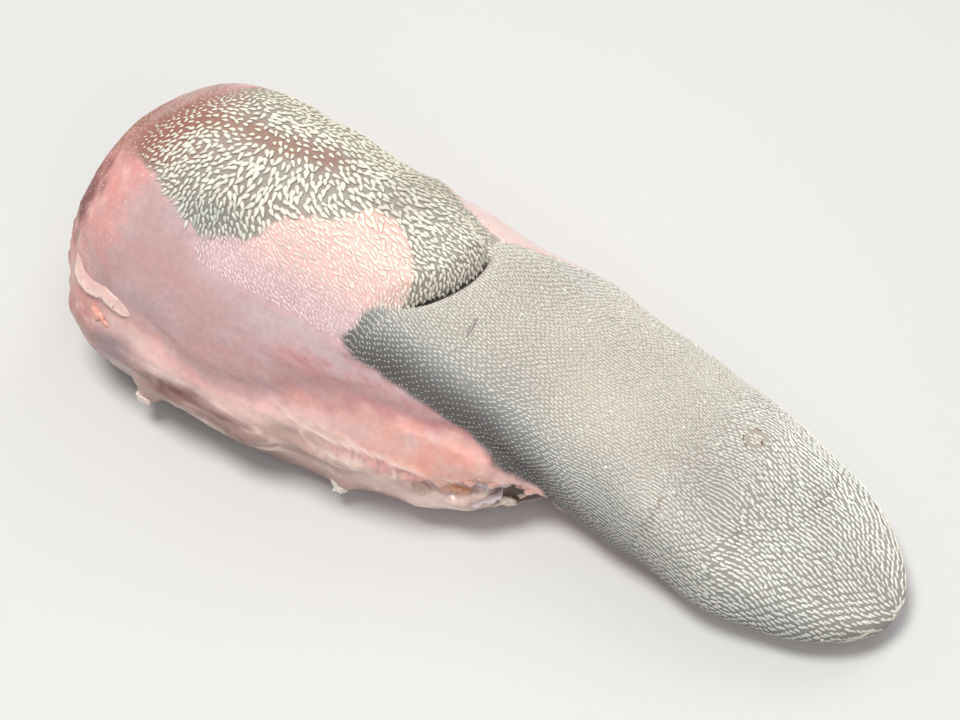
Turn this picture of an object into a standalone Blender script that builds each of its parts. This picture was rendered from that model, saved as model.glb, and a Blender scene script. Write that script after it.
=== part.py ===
"""A raw beef tongue with its root, lying on its underside.

The tongue is one solid: a loft of unlike sections from the cut root to the tip. Lengths are in metres.
X runs from the cut root to the tip, Y goes across, from the right side at -Y to the left side at +Y, and
Z is up. The origin is on the table, under the middle of the bounding box.
"""

import math

import bmesh
import bpy
import numpy as np

NAME = "beef_tongue"

# Where the sections are measured: root, throat, hump, neck, crease, fold, blade, blade's front, tip.
AT_X = (-0.169, -0.130, -0.080, -0.030, 0.000, 0.030, 0.060, 0.115, 0.172)

# The axis of the sections: how far it sways to the side, how high it lies, and how the sections lean.
# The underside doesn't lean, because its weight has flattened it on the table.
SWAY = (-0.018, -0.016, -0.013, -0.009, -0.003, 0.005, 0.007, 0.003, 0.0000)
AXIS_HEIGHT = (0.048, 0.050, 0.051, 0.047, 0.039, 0.029, 0.022, 0.015, 0.010)
LEAN_DEGREES = (12, 12, 12, 10, 9, 6, 3, 0, 0)
SAG_START, SAG_END = -0.52, -0.97

# Each section's size: half its width, its reach above and below the axis, and how square it is.
HALF_WIDTH = (0.046, 0.046, 0.045, 0.041, 0.041, 0.042, 0.043, 0.041, 0.036)
REACH_UP = (0.0520, 0.0575, 0.0488, 0.0445, 0.0425, 0.036, 0.029, 0.018, 0.012)
REACH_DOWN = (0.051, 0.055, 0.056, 0.052, 0.044, 0.033, 0.025, 0.0158, 0.009)
SQUARENESS_UP = (2.1, 2.1, 2.1, 2.1, 2.1, 2.2, 2.3, 2.4, 2.4)
SQUARENESS_DOWN = (3.0, 3.0, 3.0, 3.0, 2.9, 2.7, 2.4, 2.4, 2.4)

# The floor of the mouth still hangs on the root and spreads its base, more so on the right side. Just
# in front of it the blade is drawn in.
BASE_AT_X = (-0.169, -0.120, -0.088, -0.050, 0.000, 0.024, 0.044, 0.056, 0.078, 0.172)
BASE_SPREAD_RIGHT = (-0.004, 0.021, 0.0265, 0.032, 0.031, 0.025, -0.006, -0.004, 0.002, 0.001)
BASE_SPREAD_LEFT = (0.006, 0.012, 0.014, 0.015, 0.013, 0.008, 0.001, 0.000, 0.000, 0.000)

# The root's end slants: its base reaches further back than its top. Under the axis that levels off.
SLANT_AT_X = (-0.169, -0.120, -0.050, 0.172)
SLANT = (0.32, 0.24, 0.0, 0.0)
LOWEST_SLANT = 0.028

# The rounding at both ends. The root is cut across where its sections have shrunk to CUT_SHARE.
TIP_ROUNDING, ROOT_ROUNDING = 0.068, 0.060
TIP_POWER, ROOT_POWER = 2.1, 2.3
TIP_THINNING = 0.8
CUT_SHARE = 0.60
CUT_BULGE = 0.003

# The hump on the back half. Its front edge is an arc across the back, and hangs over a crease. On the
# left side there is no crease, and the hump rises slowly.
HUMP_HEIGHT, HUMP_RISE = 0.0060, 0.0065
HUMP_FRONT, HUMP_MIDDLE, HUMP_ARC, HUMP_ARC_LIMIT = -0.0048, -0.004, 25.0, 0.024
HUMP_SIDE_START, HUMP_SIDE_END = 0.020, 0.040
HUMP_TAIL_START, HUMP_TAIL_END = -0.095, -0.150
CREASE_DEPTH, CREASE_WIDTH = 0.0034, 0.0032
OVERHANG, OVERHANG_BACK, OVERHANG_WIDTH = 0.0026, 0.0035, 0.0035
LEFT_FADE_START, LEFT_FADE_END, LEFT_RISE = 0.000, 0.016, 0.026
CREASE_END_START, CREASE_END = 0.022, 0.033
ARC_BEND_WIDTH = 0.032

# The groove along the side, below the smooth wall, in degrees down from the middle of the back. Under
# it the side swells out again into a roll of fat.
GROOVE_AT_X = (-0.139, -0.112, -0.097, -0.077, -0.056, -0.043, -0.022, 0.000, 0.024, 0.040)
GROOVE_DOWN = (92, 94, 99, 104, 101, 94, 88, 84, 80, 88)
GROOVE_DEPTH, GROOVE_WIDTH = 0.0024, 5.0
ROLL_SWELL, ROLL_BELOW_GROOVE, ROLL_WIDTH = 0.0032, 19.0, 11.0

# The ragged lip of the floor of the mouth, with a hollow under it.
LIP_AT_X = (-0.060, -0.030, -0.012, 0.000, 0.010, 0.020, 0.031, 0.047)
LIP_DOWN = (118, 116, 113, 111, 103, 99, 94, 95)
LIP_HOLLOW, LIP_WIDTH = 0.0040, 6.0
RELIEF_ON_LEFT = 0.5

# Single lumps on the right side: place, degrees down from the middle of the back, height, length, width.
# They are the flap of gristle, the fat on the root's corner, two crumbs of fat, and fat under the lip.
LUMPS = (
    (-0.128, 92, 0.0024, 0.018, 5.0),
    (-0.141, 108, 0.0014, 0.006, 7.0),
    (-0.1005, 133, 0.0048, 0.0045, 8.0),
    (-0.022, 135, 0.0034, 0.005, 7.0),
    (0.022, 112, 0.0030, 0.006, 7.0),
    (0.008, 124, 0.0026, 0.008, 8.0),
    (0.038, 110, 0.0030, 0.006, 8.0),
)

# Many small folds in the roll of fat, and a slow waviness everywhere.
FOLD_HEIGHT, FOLD_LENGTH, FOLD_DEGREES, FOLD_SLANT = 0.0012, 0.037, 26.0, 9.0
WAVINESS = 0.0008

# The triangles: rings along the tongue, points round each ring, and rings on the cut.
RINGS, POINTS_ROUND, CUT_RINGS = 106, 46, 3
RINGS_AT_CREASE, CREASE_REGION = 1.6, 0.012
RINGS_AT_ENDS, END_REGION = 1.8, 0.014
POINTS_ON_BASE, POINTS_ON_SIDE, BASE_ANGLE, SIDE_ANGLE = -0.55, 0.45, 290, 195
CROWDING_STEPS = 2000

# The middle of the sections' bounding box, which becomes the origin.
MIDDLE_X, MIDDLE_Y = 0.0025, -0.0152

RAW_MEAT, RAW_MEAT_ROUGHNESS = (0.60, 0.40, 0.37, 1.0), 0.4


def smooth(x, places, values):
    """A smooth curve through the values at the places, with no overshoot, level beyond both ends."""
    places, values = np.array(places, float), np.array(values, float)
    gaps = np.diff(places)
    slopes = np.diff(values) / gaps
    tangents = np.concatenate([slopes[:1], np.zeros(len(places) - 2), slopes[-1:]])
    for i in range(1, len(places) - 1):
        if slopes[i - 1] * slopes[i] > 0:
            before, after = 2 * gaps[i] + gaps[i - 1], gaps[i] + 2 * gaps[i - 1]
            tangents[i] = (before + after) / (before / slopes[i - 1] + after / slopes[i])
    x = np.clip(x, places[0], places[-1])
    i = np.clip(np.searchsorted(places, x, side="right") - 1, 0, len(gaps) - 1)
    t = (x - places[i]) / gaps[i]
    return (
        (1 + 2 * t) * (1 - t) ** 2 * values[i]
        + t * (1 - t) ** 2 * gaps[i] * tangents[i]
        + t * t * (3 - 2 * t) * values[i + 1]
        + t * t * (t - 1) * gaps[i] * tangents[i + 1]
    )


def rise(value, start, end):
    """0 at start, 1 at end, and smooth between them."""
    t = np.clip((value - start) / (end - start), 0, 1)
    return t * t * (3 - 2 * t)


def bell(value, width):
    """1 where the value is 0, falling off on both sides."""
    return np.exp(-((value / width) ** 2))


def degrees_down(angle):
    """Degrees from the middle of the back down either side."""
    return np.abs((np.degrees(angle) - 90 + 180) % 360 - 180)


def end_shares(x):
    """How much of the full section is left towards the tip and towards the root."""
    to_tip = np.clip((x - (AT_X[-1] - TIP_ROUNDING)) / TIP_ROUNDING, 0, 1)
    to_root = np.clip((AT_X[0] + ROOT_ROUNDING - x) / ROOT_ROUNDING, 0, 1)
    tip_share = (1 - to_tip**TIP_POWER) ** (1 / TIP_POWER)
    root_share = (1 - to_root**ROOT_POWER) ** (1 / ROOT_POWER)
    return tip_share, root_share


def bend_to_arc(place, angle):
    """Bends the rings near the hump's front, so that one of them follows its arc."""
    across = HALF_WIDTH[4] * np.cos(angle)
    arc = HUMP_ARC_LIMIT * np.tanh(HUMP_ARC * (across - HUMP_MIDDLE) ** 2 / HUMP_ARC_LIMIT)
    arc = arc * rise(np.sin(angle), -0.2, 0.4)
    return place - arc * bell(place - HUMP_FRONT, ARC_BEND_WIDTH)


def on_hump(across, sine):
    """1 across the top of the hump, 0 on the sides."""
    sides = 1 - rise(np.abs(across - HUMP_MIDDLE), HUMP_SIDE_START, HUMP_SIDE_END)
    return sides * rise(sine, 0.0, 0.35)


def on_left(across):
    """1 on the left side, where the hump rises slowly."""
    return rise(across, LEFT_FADE_START, LEFT_FADE_END)


def creased(across):
    """1 where there is a crease in front of the hump."""
    return (1 - on_left(across)) * (1 - rise(-across, CREASE_END_START, CREASE_END))


def hump_height(place, across):
    """Height that the hump adds to the back, with the crease in front of it."""
    length = HUMP_RISE + (LEFT_RISE - HUMP_RISE) * on_left(across)
    top = HUMP_HEIGHT * rise(HUMP_FRONT - place, 0, length)
    tail = rise(place, HUMP_TAIL_END, HUMP_TAIL_START)
    return top * tail - CREASE_DEPTH * creased(across) * bell(place - HUMP_FRONT, CREASE_WIDTH)


def hump_overhang(place, across):
    """How far the hump's front leans forward over the crease."""
    return OVERHANG * creased(across) * bell(place - HUMP_FRONT + OVERHANG_BACK, OVERHANG_WIDTH)


def side_relief(x, down):
    """How far the side stands proud of the plain section: groove, roll of fat, hollow under the lip."""
    below_groove = down - smooth(x, GROOVE_AT_X, GROOVE_DOWN)
    below_lip = down - smooth(x, LIP_AT_X, LIP_DOWN)
    folds = np.sin(2 * math.pi * x / FOLD_LENGTH + down / FOLD_SLANT) * np.sin(2 * math.pi * down / FOLD_DEGREES)
    relief = -GROOVE_DEPTH * bell(below_groove, GROOVE_WIDTH)
    relief = relief + ROLL_SWELL * bell(below_groove - ROLL_BELOW_GROOVE, ROLL_WIDTH)
    relief = relief + FOLD_HEIGHT * folds * rise(below_groove, 4, 16) * (1 - rise(down, 118, 134))
    has_lip = rise(x, LIP_AT_X[0], LIP_AT_X[2]) * (1 - rise(x, 0.044, 0.058))
    relief = relief - has_lip * LIP_HOLLOW * bell(below_lip - LIP_WIDTH, LIP_WIDTH)
    return relief * rise(x, -0.168, -0.135) * (1 - rise(x, 0.030, 0.052)) * (1 - rise(down, 138, 152))


def single_lumps(x, angle):
    """The single lumps of fat and gristle on the right side."""
    down = degrees_down(angle)
    on_right = np.cos(angle) < 0
    total = 0.0
    for place, down_to, height, length, width in LUMPS:
        total = total + height * bell(x - place, length) * bell(down - down_to, width)
    return np.where(on_right, total, 0.0)


def waviness(x, angle):
    """A slow waviness, so that no stretch is perfectly regular. The base stays flat."""
    waves = np.sin(41 * x + 1.3 + 2 * np.sin(angle))
    waves = waves + 0.7 * np.sin(97 * x - 3 * angle + 0.4)
    waves = waves + 0.5 * np.sin(163 * x + 4 * angle + 2.1)
    return WAVINESS * waves * (1 - rise(degrees_down(angle), 120, 145))


def surface(place, angle):
    """Points of the tongue, by place along it and angle round it. 90 degrees is the middle of the back."""
    x = bend_to_arc(place, angle)
    tip_share, root_share = end_shares(x)
    share = tip_share * root_share
    cosine, sine = np.cos(angle), np.sin(angle)
    up_half, right_half = sine >= 0, cosine < 0

    spread_right, spread_left = smooth(x, BASE_AT_X, BASE_SPREAD_RIGHT), smooth(x, BASE_AT_X, BASE_SPREAD_LEFT)
    spread = np.where(right_half, spread_right, spread_left) * ((1 - sine) / 2) ** 1.5
    half_width = (smooth(x, AT_X, HALF_WIDTH) + spread) * share
    reach = np.where(up_half, smooth(x, AT_X, REACH_UP), smooth(x, AT_X, REACH_DOWN))
    reach = reach * tip_share**TIP_THINNING * root_share
    power = 2 / np.where(up_half, smooth(x, AT_X, SQUARENESS_UP), smooth(x, AT_X, SQUARENESS_DOWN))
    across = half_width * np.sign(cosine) * np.abs(cosine) ** power
    up = reach * np.sign(sine) * np.abs(sine) ** power

    topped = on_hump(across, sine)
    relief = side_relief(x, degrees_down(angle)) * np.where(right_half, 1.0, RELIEF_ON_LEFT)
    relief = relief + single_lumps(x, angle) + waviness(x, angle)
    hump, overhang = topped * hump_height(place, across), topped * hump_overhang(place, across)
    across = across + share * relief * cosine
    up = up + share * (relief * sine + hump)

    lean = np.radians(smooth(x, AT_X, LEAN_DEGREES))
    axis = smooth(x, AT_X, AXIS_HEIGHT)
    y = smooth(x, AT_X, SWAY) + across * np.cos(lean) + up * np.sin(lean)
    leaning = 1 - rise(-sine, -SAG_START, -SAG_END)
    z = np.maximum(axis - across * np.sin(lean) * leaning + up * np.cos(lean), 0)
    height = z - axis
    height = np.where(height < 0, LOWEST_SLANT * np.tanh(height / LOWEST_SLANT), height)
    along = x + overhang + smooth(x, SLANT_AT_X, SLANT) * height
    return np.stack(np.broadcast_arrays(along - MIDDLE_X, y - MIDDLE_Y, z), -1)


def crowd(start, end, count, density):
    """Places from start up to end, closer together where the density is higher."""
    fine = np.linspace(start, end, CROWDING_STEPS)
    total = np.concatenate([[0], np.cumsum(density(fine)[1:])])
    return np.interp(np.arange(count) / count * total[-1], total, fine)


def ring_places():
    """Where the rings lie: closer together at the crease and at both ends."""
    start = AT_X[0] + ROOT_ROUNDING * (1 - (1 - CUT_SHARE**ROOT_POWER) ** (1 / ROOT_POWER))
    end = AT_X[-1]

    def density(x):
        at_crease = RINGS_AT_CREASE * bell(x - HUMP_FRONT, CREASE_REGION)
        at_ends = RINGS_AT_ENDS * (bell(x - start, END_REGION) + bell(x - end, END_REGION))
        return 1 + at_crease + at_ends

    return crowd(start, end, RINGS, density)


def point_angles():
    """The angles round a ring: closer together on the right side, wider apart under the base."""

    def density(degrees):
        on_base = POINTS_ON_BASE * bell(degrees - BASE_ANGLE, 45)
        on_side = POINTS_ON_SIDE * bell(degrees - SIDE_ANGLE, 35)
        return 1 + on_base + on_side

    return np.radians(crowd(0, 360, POINTS_ROUND, density))


def add_ring(mesh, points):
    return [mesh.verts.new(point) for point in points.tolist()]


def join_rings(mesh, first, second):
    for i in range(len(first)):
        j = (i + 1) % len(first)
        mesh.faces.new((first[i], second[i], second[j], first[j]))


def close_ring(mesh, ring, middle_point):
    """A fan of triangles from the ring to one point."""
    middle = mesh.verts.new(middle_point)
    for i in range(len(ring)):
        mesh.faces.new((ring[i], ring[(i + 1) % len(ring)], middle))


def cut_across(mesh, rim_points, rim):
    """The cut through the root's muscle, slightly bulging, from its rim to its middle."""
    centre = rim_points.mean(axis=0)
    outer = rim
    for k in range(1, CUT_RINGS + 1):
        share = 1 - k / (CUT_RINGS + 1)
        points = centre + (rim_points - centre) * share
        points[:, 0] -= CUT_BULGE * (1 - share**2)
        inner = add_ring(mesh, points)
        join_rings(mesh, outer, inner)
        outer = inner
    close_ring(mesh, outer, centre - (CUT_BULGE, 0, 0))


def tongue_mesh():
    mesh = bmesh.new()
    points = surface(ring_places()[:, None], point_angles()[None, :])
    rings = [add_ring(mesh, ring) for ring in points]
    for first, second in zip(rings[:-1], rings[1:]):
        join_rings(mesh, first, second)
    close_ring(mesh, rings[-1], surface(AT_X[-1], math.pi / 2))
    cut_across(mesh, points[0], rings[0])
    bmesh.ops.recalc_face_normals(mesh, faces=mesh.faces)
    data = bpy.data.meshes.new(NAME)
    mesh.to_mesh(data)
    mesh.free()
    return data


def raw_meat():
    material = bpy.data.materials.new("raw_tongue")
    material.use_nodes = True
    shader = material.node_tree.nodes["Principled BSDF"]
    shader.inputs["Base Color"].default_value = RAW_MEAT
    shader.inputs["Roughness"].default_value = RAW_MEAT_ROUGHNESS
    shader.inputs["Metallic"].default_value = 0.0
    return material


def main():
    for old in list(bpy.data.objects):
        bpy.data.objects.remove(old)
    group = bpy.data.collections.new("tongue")
    bpy.context.scene.collection.children.link(group)
    tongue = bpy.data.objects.new(NAME, tongue_mesh())
    tongue.data.materials.append(raw_meat())
    tongue.data.shade_smooth()
    group.objects.link(tongue)


main()
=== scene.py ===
"""The looks of a raw beef tongue with its root: skin, papillae, fat and gristle, on a pale floor.

Lengths are in metres. The skin's surface is the CAD model's own, worked out on a finer mesh.
"""

import math

import bpy
import numpy as np
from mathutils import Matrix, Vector


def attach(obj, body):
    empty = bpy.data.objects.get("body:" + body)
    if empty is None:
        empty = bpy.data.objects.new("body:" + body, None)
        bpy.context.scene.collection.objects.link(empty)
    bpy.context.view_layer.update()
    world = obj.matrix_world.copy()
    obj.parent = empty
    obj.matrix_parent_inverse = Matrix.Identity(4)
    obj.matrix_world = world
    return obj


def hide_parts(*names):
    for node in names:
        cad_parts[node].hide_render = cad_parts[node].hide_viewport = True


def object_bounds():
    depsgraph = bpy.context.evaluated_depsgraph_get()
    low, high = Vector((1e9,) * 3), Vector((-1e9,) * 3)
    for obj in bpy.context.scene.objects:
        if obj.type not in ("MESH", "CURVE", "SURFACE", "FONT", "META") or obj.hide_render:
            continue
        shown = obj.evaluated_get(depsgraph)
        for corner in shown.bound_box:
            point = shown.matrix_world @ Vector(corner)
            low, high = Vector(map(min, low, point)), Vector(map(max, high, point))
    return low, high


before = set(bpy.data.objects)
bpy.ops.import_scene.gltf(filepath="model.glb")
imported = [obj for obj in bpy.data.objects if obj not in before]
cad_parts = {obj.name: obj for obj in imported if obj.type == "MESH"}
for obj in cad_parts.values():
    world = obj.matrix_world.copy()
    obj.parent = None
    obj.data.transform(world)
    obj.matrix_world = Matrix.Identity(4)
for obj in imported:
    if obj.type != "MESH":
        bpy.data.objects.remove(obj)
cad_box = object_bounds()

# Where the sections are measured: root, throat, hump, neck, crease, fold, blade, blade's front, tip.
AT_X = (-0.169, -0.130, -0.080, -0.030, 0.000, 0.030, 0.060, 0.115, 0.172)

# The axis of the sections: how far it sways to the side, how high it lies, and how the sections lean.
# The underside doesn't lean, because its weight has flattened it on the table.
SWAY = (-0.018, -0.016, -0.013, -0.009, -0.003, 0.005, 0.007, 0.003, 0.0000)
AXIS_HEIGHT = (0.048, 0.050, 0.051, 0.047, 0.039, 0.029, 0.022, 0.015, 0.010)
LEAN_DEGREES = (12, 12, 12, 10, 9, 6, 3, 0, 0)
SAG_START, SAG_END = -0.52, -0.97

# Each section's size: half its width, its reach above and below the axis, and how square it is.
HALF_WIDTH = (0.046, 0.046, 0.045, 0.041, 0.041, 0.042, 0.043, 0.041, 0.036)
REACH_UP = (0.0520, 0.0575, 0.0488, 0.0445, 0.0425, 0.036, 0.029, 0.018, 0.012)
REACH_DOWN = (0.051, 0.055, 0.056, 0.052, 0.044, 0.033, 0.025, 0.0158, 0.009)
SQUARENESS_UP = (2.1, 2.1, 2.1, 2.1, 2.1, 2.2, 2.3, 2.4, 2.4)
SQUARENESS_DOWN = (3.0, 3.0, 3.0, 3.0, 2.9, 2.7, 2.4, 2.4, 2.4)

# The floor of the mouth still hangs on the root and spreads its base, more so on the right side. Just
# in front of it the blade is drawn in.
BASE_AT_X = (-0.169, -0.120, -0.088, -0.050, 0.000, 0.024, 0.044, 0.056, 0.078, 0.172)
BASE_SPREAD_RIGHT = (-0.004, 0.021, 0.0265, 0.032, 0.031, 0.025, -0.006, -0.004, 0.002, 0.001)
BASE_SPREAD_LEFT = (0.006, 0.012, 0.014, 0.015, 0.013, 0.008, 0.001, 0.000, 0.000, 0.000)

# The root's end slants: its base reaches further back than its top. Under the axis that levels off.
SLANT_AT_X = (-0.169, -0.120, -0.050, 0.172)
SLANT = (0.32, 0.24, 0.0, 0.0)
LOWEST_SLANT = 0.028

# The rounding at both ends. The root is cut across where its sections have shrunk to CUT_SHARE.
TIP_ROUNDING, ROOT_ROUNDING = 0.068, 0.060
TIP_POWER, ROOT_POWER = 2.1, 2.3
TIP_THINNING = 0.8
CUT_SHARE = 0.60
CUT_BULGE = 0.003

# The hump on the back half. Its front edge is an arc across the back, and hangs over a crease. On the
# left side there is no crease, and the hump rises slowly.
HUMP_HEIGHT, HUMP_RISE = 0.0060, 0.0065
HUMP_FRONT, HUMP_MIDDLE, HUMP_ARC, HUMP_ARC_LIMIT = -0.0048, -0.004, 25.0, 0.024
HUMP_SIDE_START, HUMP_SIDE_END = 0.020, 0.040
HUMP_TAIL_START, HUMP_TAIL_END = -0.095, -0.150
CREASE_DEPTH, CREASE_WIDTH = 0.0034, 0.0032
OVERHANG, OVERHANG_BACK, OVERHANG_WIDTH = 0.0026, 0.0035, 0.0035
LEFT_FADE_START, LEFT_FADE_END, LEFT_RISE = 0.000, 0.016, 0.026
CREASE_END_START, CREASE_END = 0.022, 0.033
ARC_BEND_WIDTH = 0.032

# The groove along the side, below the smooth wall, in degrees down from the middle of the back. Under
# it the side swells out again into a roll of fat.
GROOVE_AT_X = (-0.139, -0.112, -0.097, -0.077, -0.056, -0.043, -0.022, 0.000, 0.024, 0.040)
GROOVE_DOWN = (92, 94, 99, 104, 101, 94, 88, 84, 80, 88)
GROOVE_DEPTH, GROOVE_WIDTH = 0.0024, 5.0
ROLL_SWELL, ROLL_BELOW_GROOVE, ROLL_WIDTH = 0.0032, 19.0, 11.0

# The ragged lip of the floor of the mouth, with a hollow under it.
LIP_AT_X = (-0.060, -0.030, -0.012, 0.000, 0.010, 0.020, 0.031, 0.047)
LIP_DOWN = (118, 116, 113, 111, 103, 99, 94, 95)
LIP_HOLLOW, LIP_WIDTH = 0.0040, 6.0
RELIEF_ON_LEFT = 0.5

# Single lumps on the right side: place, degrees down from the middle of the back, height, length, width.
# They are the flap of gristle, the fat on the root's corner, two crumbs of fat, and fat under the lip.
LUMPS = (
    (-0.128, 92, 0.0024, 0.018, 5.0),
    (-0.141, 108, 0.0014, 0.006, 7.0),
    (-0.1005, 133, 0.0048, 0.0045, 8.0),
    (-0.022, 135, 0.0034, 0.005, 7.0),
    (0.022, 112, 0.0030, 0.006, 7.0),
    (0.008, 124, 0.0026, 0.008, 8.0),
    (0.038, 110, 0.0030, 0.006, 8.0),
)

# Many small folds in the roll of fat, and a slow waviness everywhere.
FOLD_HEIGHT, FOLD_LENGTH, FOLD_DEGREES, FOLD_SLANT = 0.0012, 0.037, 26.0, 9.0
WAVINESS = 0.0008

# The middle of the sections' bounding box, which becomes the origin.
MIDDLE_X, MIDDLE_Y = 0.0025, -0.0152


def smooth(x, places, values):
    """A smooth curve through the values at the places, with no overshoot, level beyond both ends."""
    places, values = np.array(places, float), np.array(values, float)
    gaps = np.diff(places)
    slopes = np.diff(values) / gaps
    tangents = np.concatenate([slopes[:1], np.zeros(len(places) - 2), slopes[-1:]])
    for i in range(1, len(places) - 1):
        if slopes[i - 1] * slopes[i] > 0:
            before, after = 2 * gaps[i] + gaps[i - 1], gaps[i] + 2 * gaps[i - 1]
            tangents[i] = (before + after) / (before / slopes[i - 1] + after / slopes[i])
    x = np.clip(x, places[0], places[-1])
    i = np.clip(np.searchsorted(places, x, side="right") - 1, 0, len(gaps) - 1)
    t = (x - places[i]) / gaps[i]
    return (
        (1 + 2 * t) * (1 - t) ** 2 * values[i]
        + t * (1 - t) ** 2 * gaps[i] * tangents[i]
        + t * t * (3 - 2 * t) * values[i + 1]
        + t * t * (t - 1) * gaps[i] * tangents[i + 1]
    )


def rise(value, start, end):
    """0 at start, 1 at end, and smooth between them."""
    t = np.clip((value - start) / (end - start), 0, 1)
    return t * t * (3 - 2 * t)


def bell(value, width):
    """1 where the value is 0, falling off on both sides."""
    return np.exp(-((value / width) ** 2))


def degrees_down(angle):
    """Degrees from the middle of the back down either side."""
    return np.abs((np.degrees(angle) - 90 + 180) % 360 - 180)


def end_shares(x):
    """How much of the full section is left towards the tip and towards the root."""
    to_tip = np.clip((x - (AT_X[-1] - TIP_ROUNDING)) / TIP_ROUNDING, 0, 1)
    to_root = np.clip((AT_X[0] + ROOT_ROUNDING - x) / ROOT_ROUNDING, 0, 1)
    tip_share = (1 - to_tip**TIP_POWER) ** (1 / TIP_POWER)
    root_share = (1 - to_root**ROOT_POWER) ** (1 / ROOT_POWER)
    return tip_share, root_share


def bend_to_arc(place, angle):
    """Bends the rings near the hump's front, so that one of them follows its arc."""
    across = HALF_WIDTH[4] * np.cos(angle)
    arc = HUMP_ARC_LIMIT * np.tanh(HUMP_ARC * (across - HUMP_MIDDLE) ** 2 / HUMP_ARC_LIMIT)
    arc = arc * rise(np.sin(angle), -0.2, 0.4)
    return place - arc * bell(place - HUMP_FRONT, ARC_BEND_WIDTH)


def on_hump(across, sine):
    """1 across the top of the hump, 0 on the sides."""
    sides = 1 - rise(np.abs(across - HUMP_MIDDLE), HUMP_SIDE_START, HUMP_SIDE_END)
    return sides * rise(sine, 0.0, 0.35)


def on_left(across):
    """1 on the left side, where the hump rises slowly."""
    return rise(across, LEFT_FADE_START, LEFT_FADE_END)


def creased(across):
    """1 where there is a crease in front of the hump."""
    return (1 - on_left(across)) * (1 - rise(-across, CREASE_END_START, CREASE_END))


def hump_height(place, across):
    """Height that the hump adds to the back, with the crease in front of it."""
    length = HUMP_RISE + (LEFT_RISE - HUMP_RISE) * on_left(across)
    top = HUMP_HEIGHT * rise(HUMP_FRONT - place, 0, length)
    tail = rise(place, HUMP_TAIL_END, HUMP_TAIL_START)
    return top * tail - CREASE_DEPTH * creased(across) * bell(place - HUMP_FRONT, CREASE_WIDTH)


def hump_overhang(place, across):
    """How far the hump's front leans forward over the crease."""
    return OVERHANG * creased(across) * bell(place - HUMP_FRONT + OVERHANG_BACK, OVERHANG_WIDTH)


def side_relief(x, down):
    """How far the side stands proud of the plain section: groove, roll of fat, hollow under the lip."""
    below_groove = down - smooth(x, GROOVE_AT_X, GROOVE_DOWN)
    below_lip = down - smooth(x, LIP_AT_X, LIP_DOWN)
    folds = np.sin(2 * math.pi * x / FOLD_LENGTH + down / FOLD_SLANT) * np.sin(2 * math.pi * down / FOLD_DEGREES)
    relief = -GROOVE_DEPTH * bell(below_groove, GROOVE_WIDTH)
    relief = relief + ROLL_SWELL * bell(below_groove - ROLL_BELOW_GROOVE, ROLL_WIDTH)
    relief = relief + FOLD_HEIGHT * folds * rise(below_groove, 4, 16) * (1 - rise(down, 118, 134))
    has_lip = rise(x, LIP_AT_X[0], LIP_AT_X[2]) * (1 - rise(x, 0.044, 0.058))
    relief = relief - has_lip * LIP_HOLLOW * bell(below_lip - LIP_WIDTH, LIP_WIDTH)
    return relief * rise(x, -0.168, -0.135) * (1 - rise(x, 0.030, 0.052)) * (1 - rise(down, 138, 152))


def single_lumps(x, angle):
    """The single lumps of fat and gristle on the right side."""
    down = degrees_down(angle)
    on_right = np.cos(angle) < 0
    total = 0.0
    for place, down_to, height, length, width in LUMPS:
        total = total + height * bell(x - place, length) * bell(down - down_to, width)
    return np.where(on_right, total, 0.0)


def waviness(x, angle):
    """A slow waviness, so that no stretch is perfectly regular. The base stays flat."""
    waves = np.sin(41 * x + 1.3 + 2 * np.sin(angle))
    waves = waves + 0.7 * np.sin(97 * x - 3 * angle + 0.4)
    waves = waves + 0.5 * np.sin(163 * x + 4 * angle + 2.1)
    return WAVINESS * waves * (1 - rise(degrees_down(angle), 120, 145))


def surface(place, angle):
    """Points of the tongue, by place along it and angle round it. 90 degrees is the middle of the back."""
    x = bend_to_arc(place, angle)
    tip_share, root_share = end_shares(x)
    share = tip_share * root_share
    cosine, sine = np.cos(angle), np.sin(angle)
    up_half, right_half = sine >= 0, cosine < 0

    spread_right, spread_left = smooth(x, BASE_AT_X, BASE_SPREAD_RIGHT), smooth(x, BASE_AT_X, BASE_SPREAD_LEFT)
    spread = np.where(right_half, spread_right, spread_left) * ((1 - sine) / 2) ** 1.5
    half_width = (smooth(x, AT_X, HALF_WIDTH) + spread) * share
    reach = np.where(up_half, smooth(x, AT_X, REACH_UP), smooth(x, AT_X, REACH_DOWN))
    reach = reach * tip_share**TIP_THINNING * root_share
    power = 2 / np.where(up_half, smooth(x, AT_X, SQUARENESS_UP), smooth(x, AT_X, SQUARENESS_DOWN))
    across = half_width * np.sign(cosine) * np.abs(cosine) ** power
    up = reach * np.sign(sine) * np.abs(sine) ** power

    topped = on_hump(across, sine)
    relief = side_relief(x, degrees_down(angle)) * np.where(right_half, 1.0, RELIEF_ON_LEFT)
    relief = relief + single_lumps(x, angle) + waviness(x, angle)
    hump, overhang = topped * hump_height(place, across), topped * hump_overhang(place, across)
    across = across + share * relief * cosine
    up = up + share * (relief * sine + hump)

    lean = np.radians(smooth(x, AT_X, LEAN_DEGREES))
    axis = smooth(x, AT_X, AXIS_HEIGHT)
    y = smooth(x, AT_X, SWAY) + across * np.cos(lean) + up * np.sin(lean)
    leaning = 1 - rise(-sine, -SAG_START, -SAG_END)
    z = np.maximum(axis - across * np.sin(lean) * leaning + up * np.cos(lean), 0)
    height = z - axis
    height = np.where(height < 0, LOWEST_SLANT * np.tanh(height / LOWEST_SLANT), height)
    along = x + overhang + smooth(x, SLANT_AT_X, SLANT) * height
    return np.stack(np.broadcast_arrays(along - MIDDLE_X, y - MIDDLE_Y, z), -1)


def crowd(start, end, count, density):
    """Places from start up to end, closer together where the density is higher."""
    fine = np.linspace(start, end, CROWDING_STEPS)
    total = np.concatenate([[0], np.cumsum(density(fine)[1:])])
    return np.interp(np.arange(count) / count * total[-1], total, fine)


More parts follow.
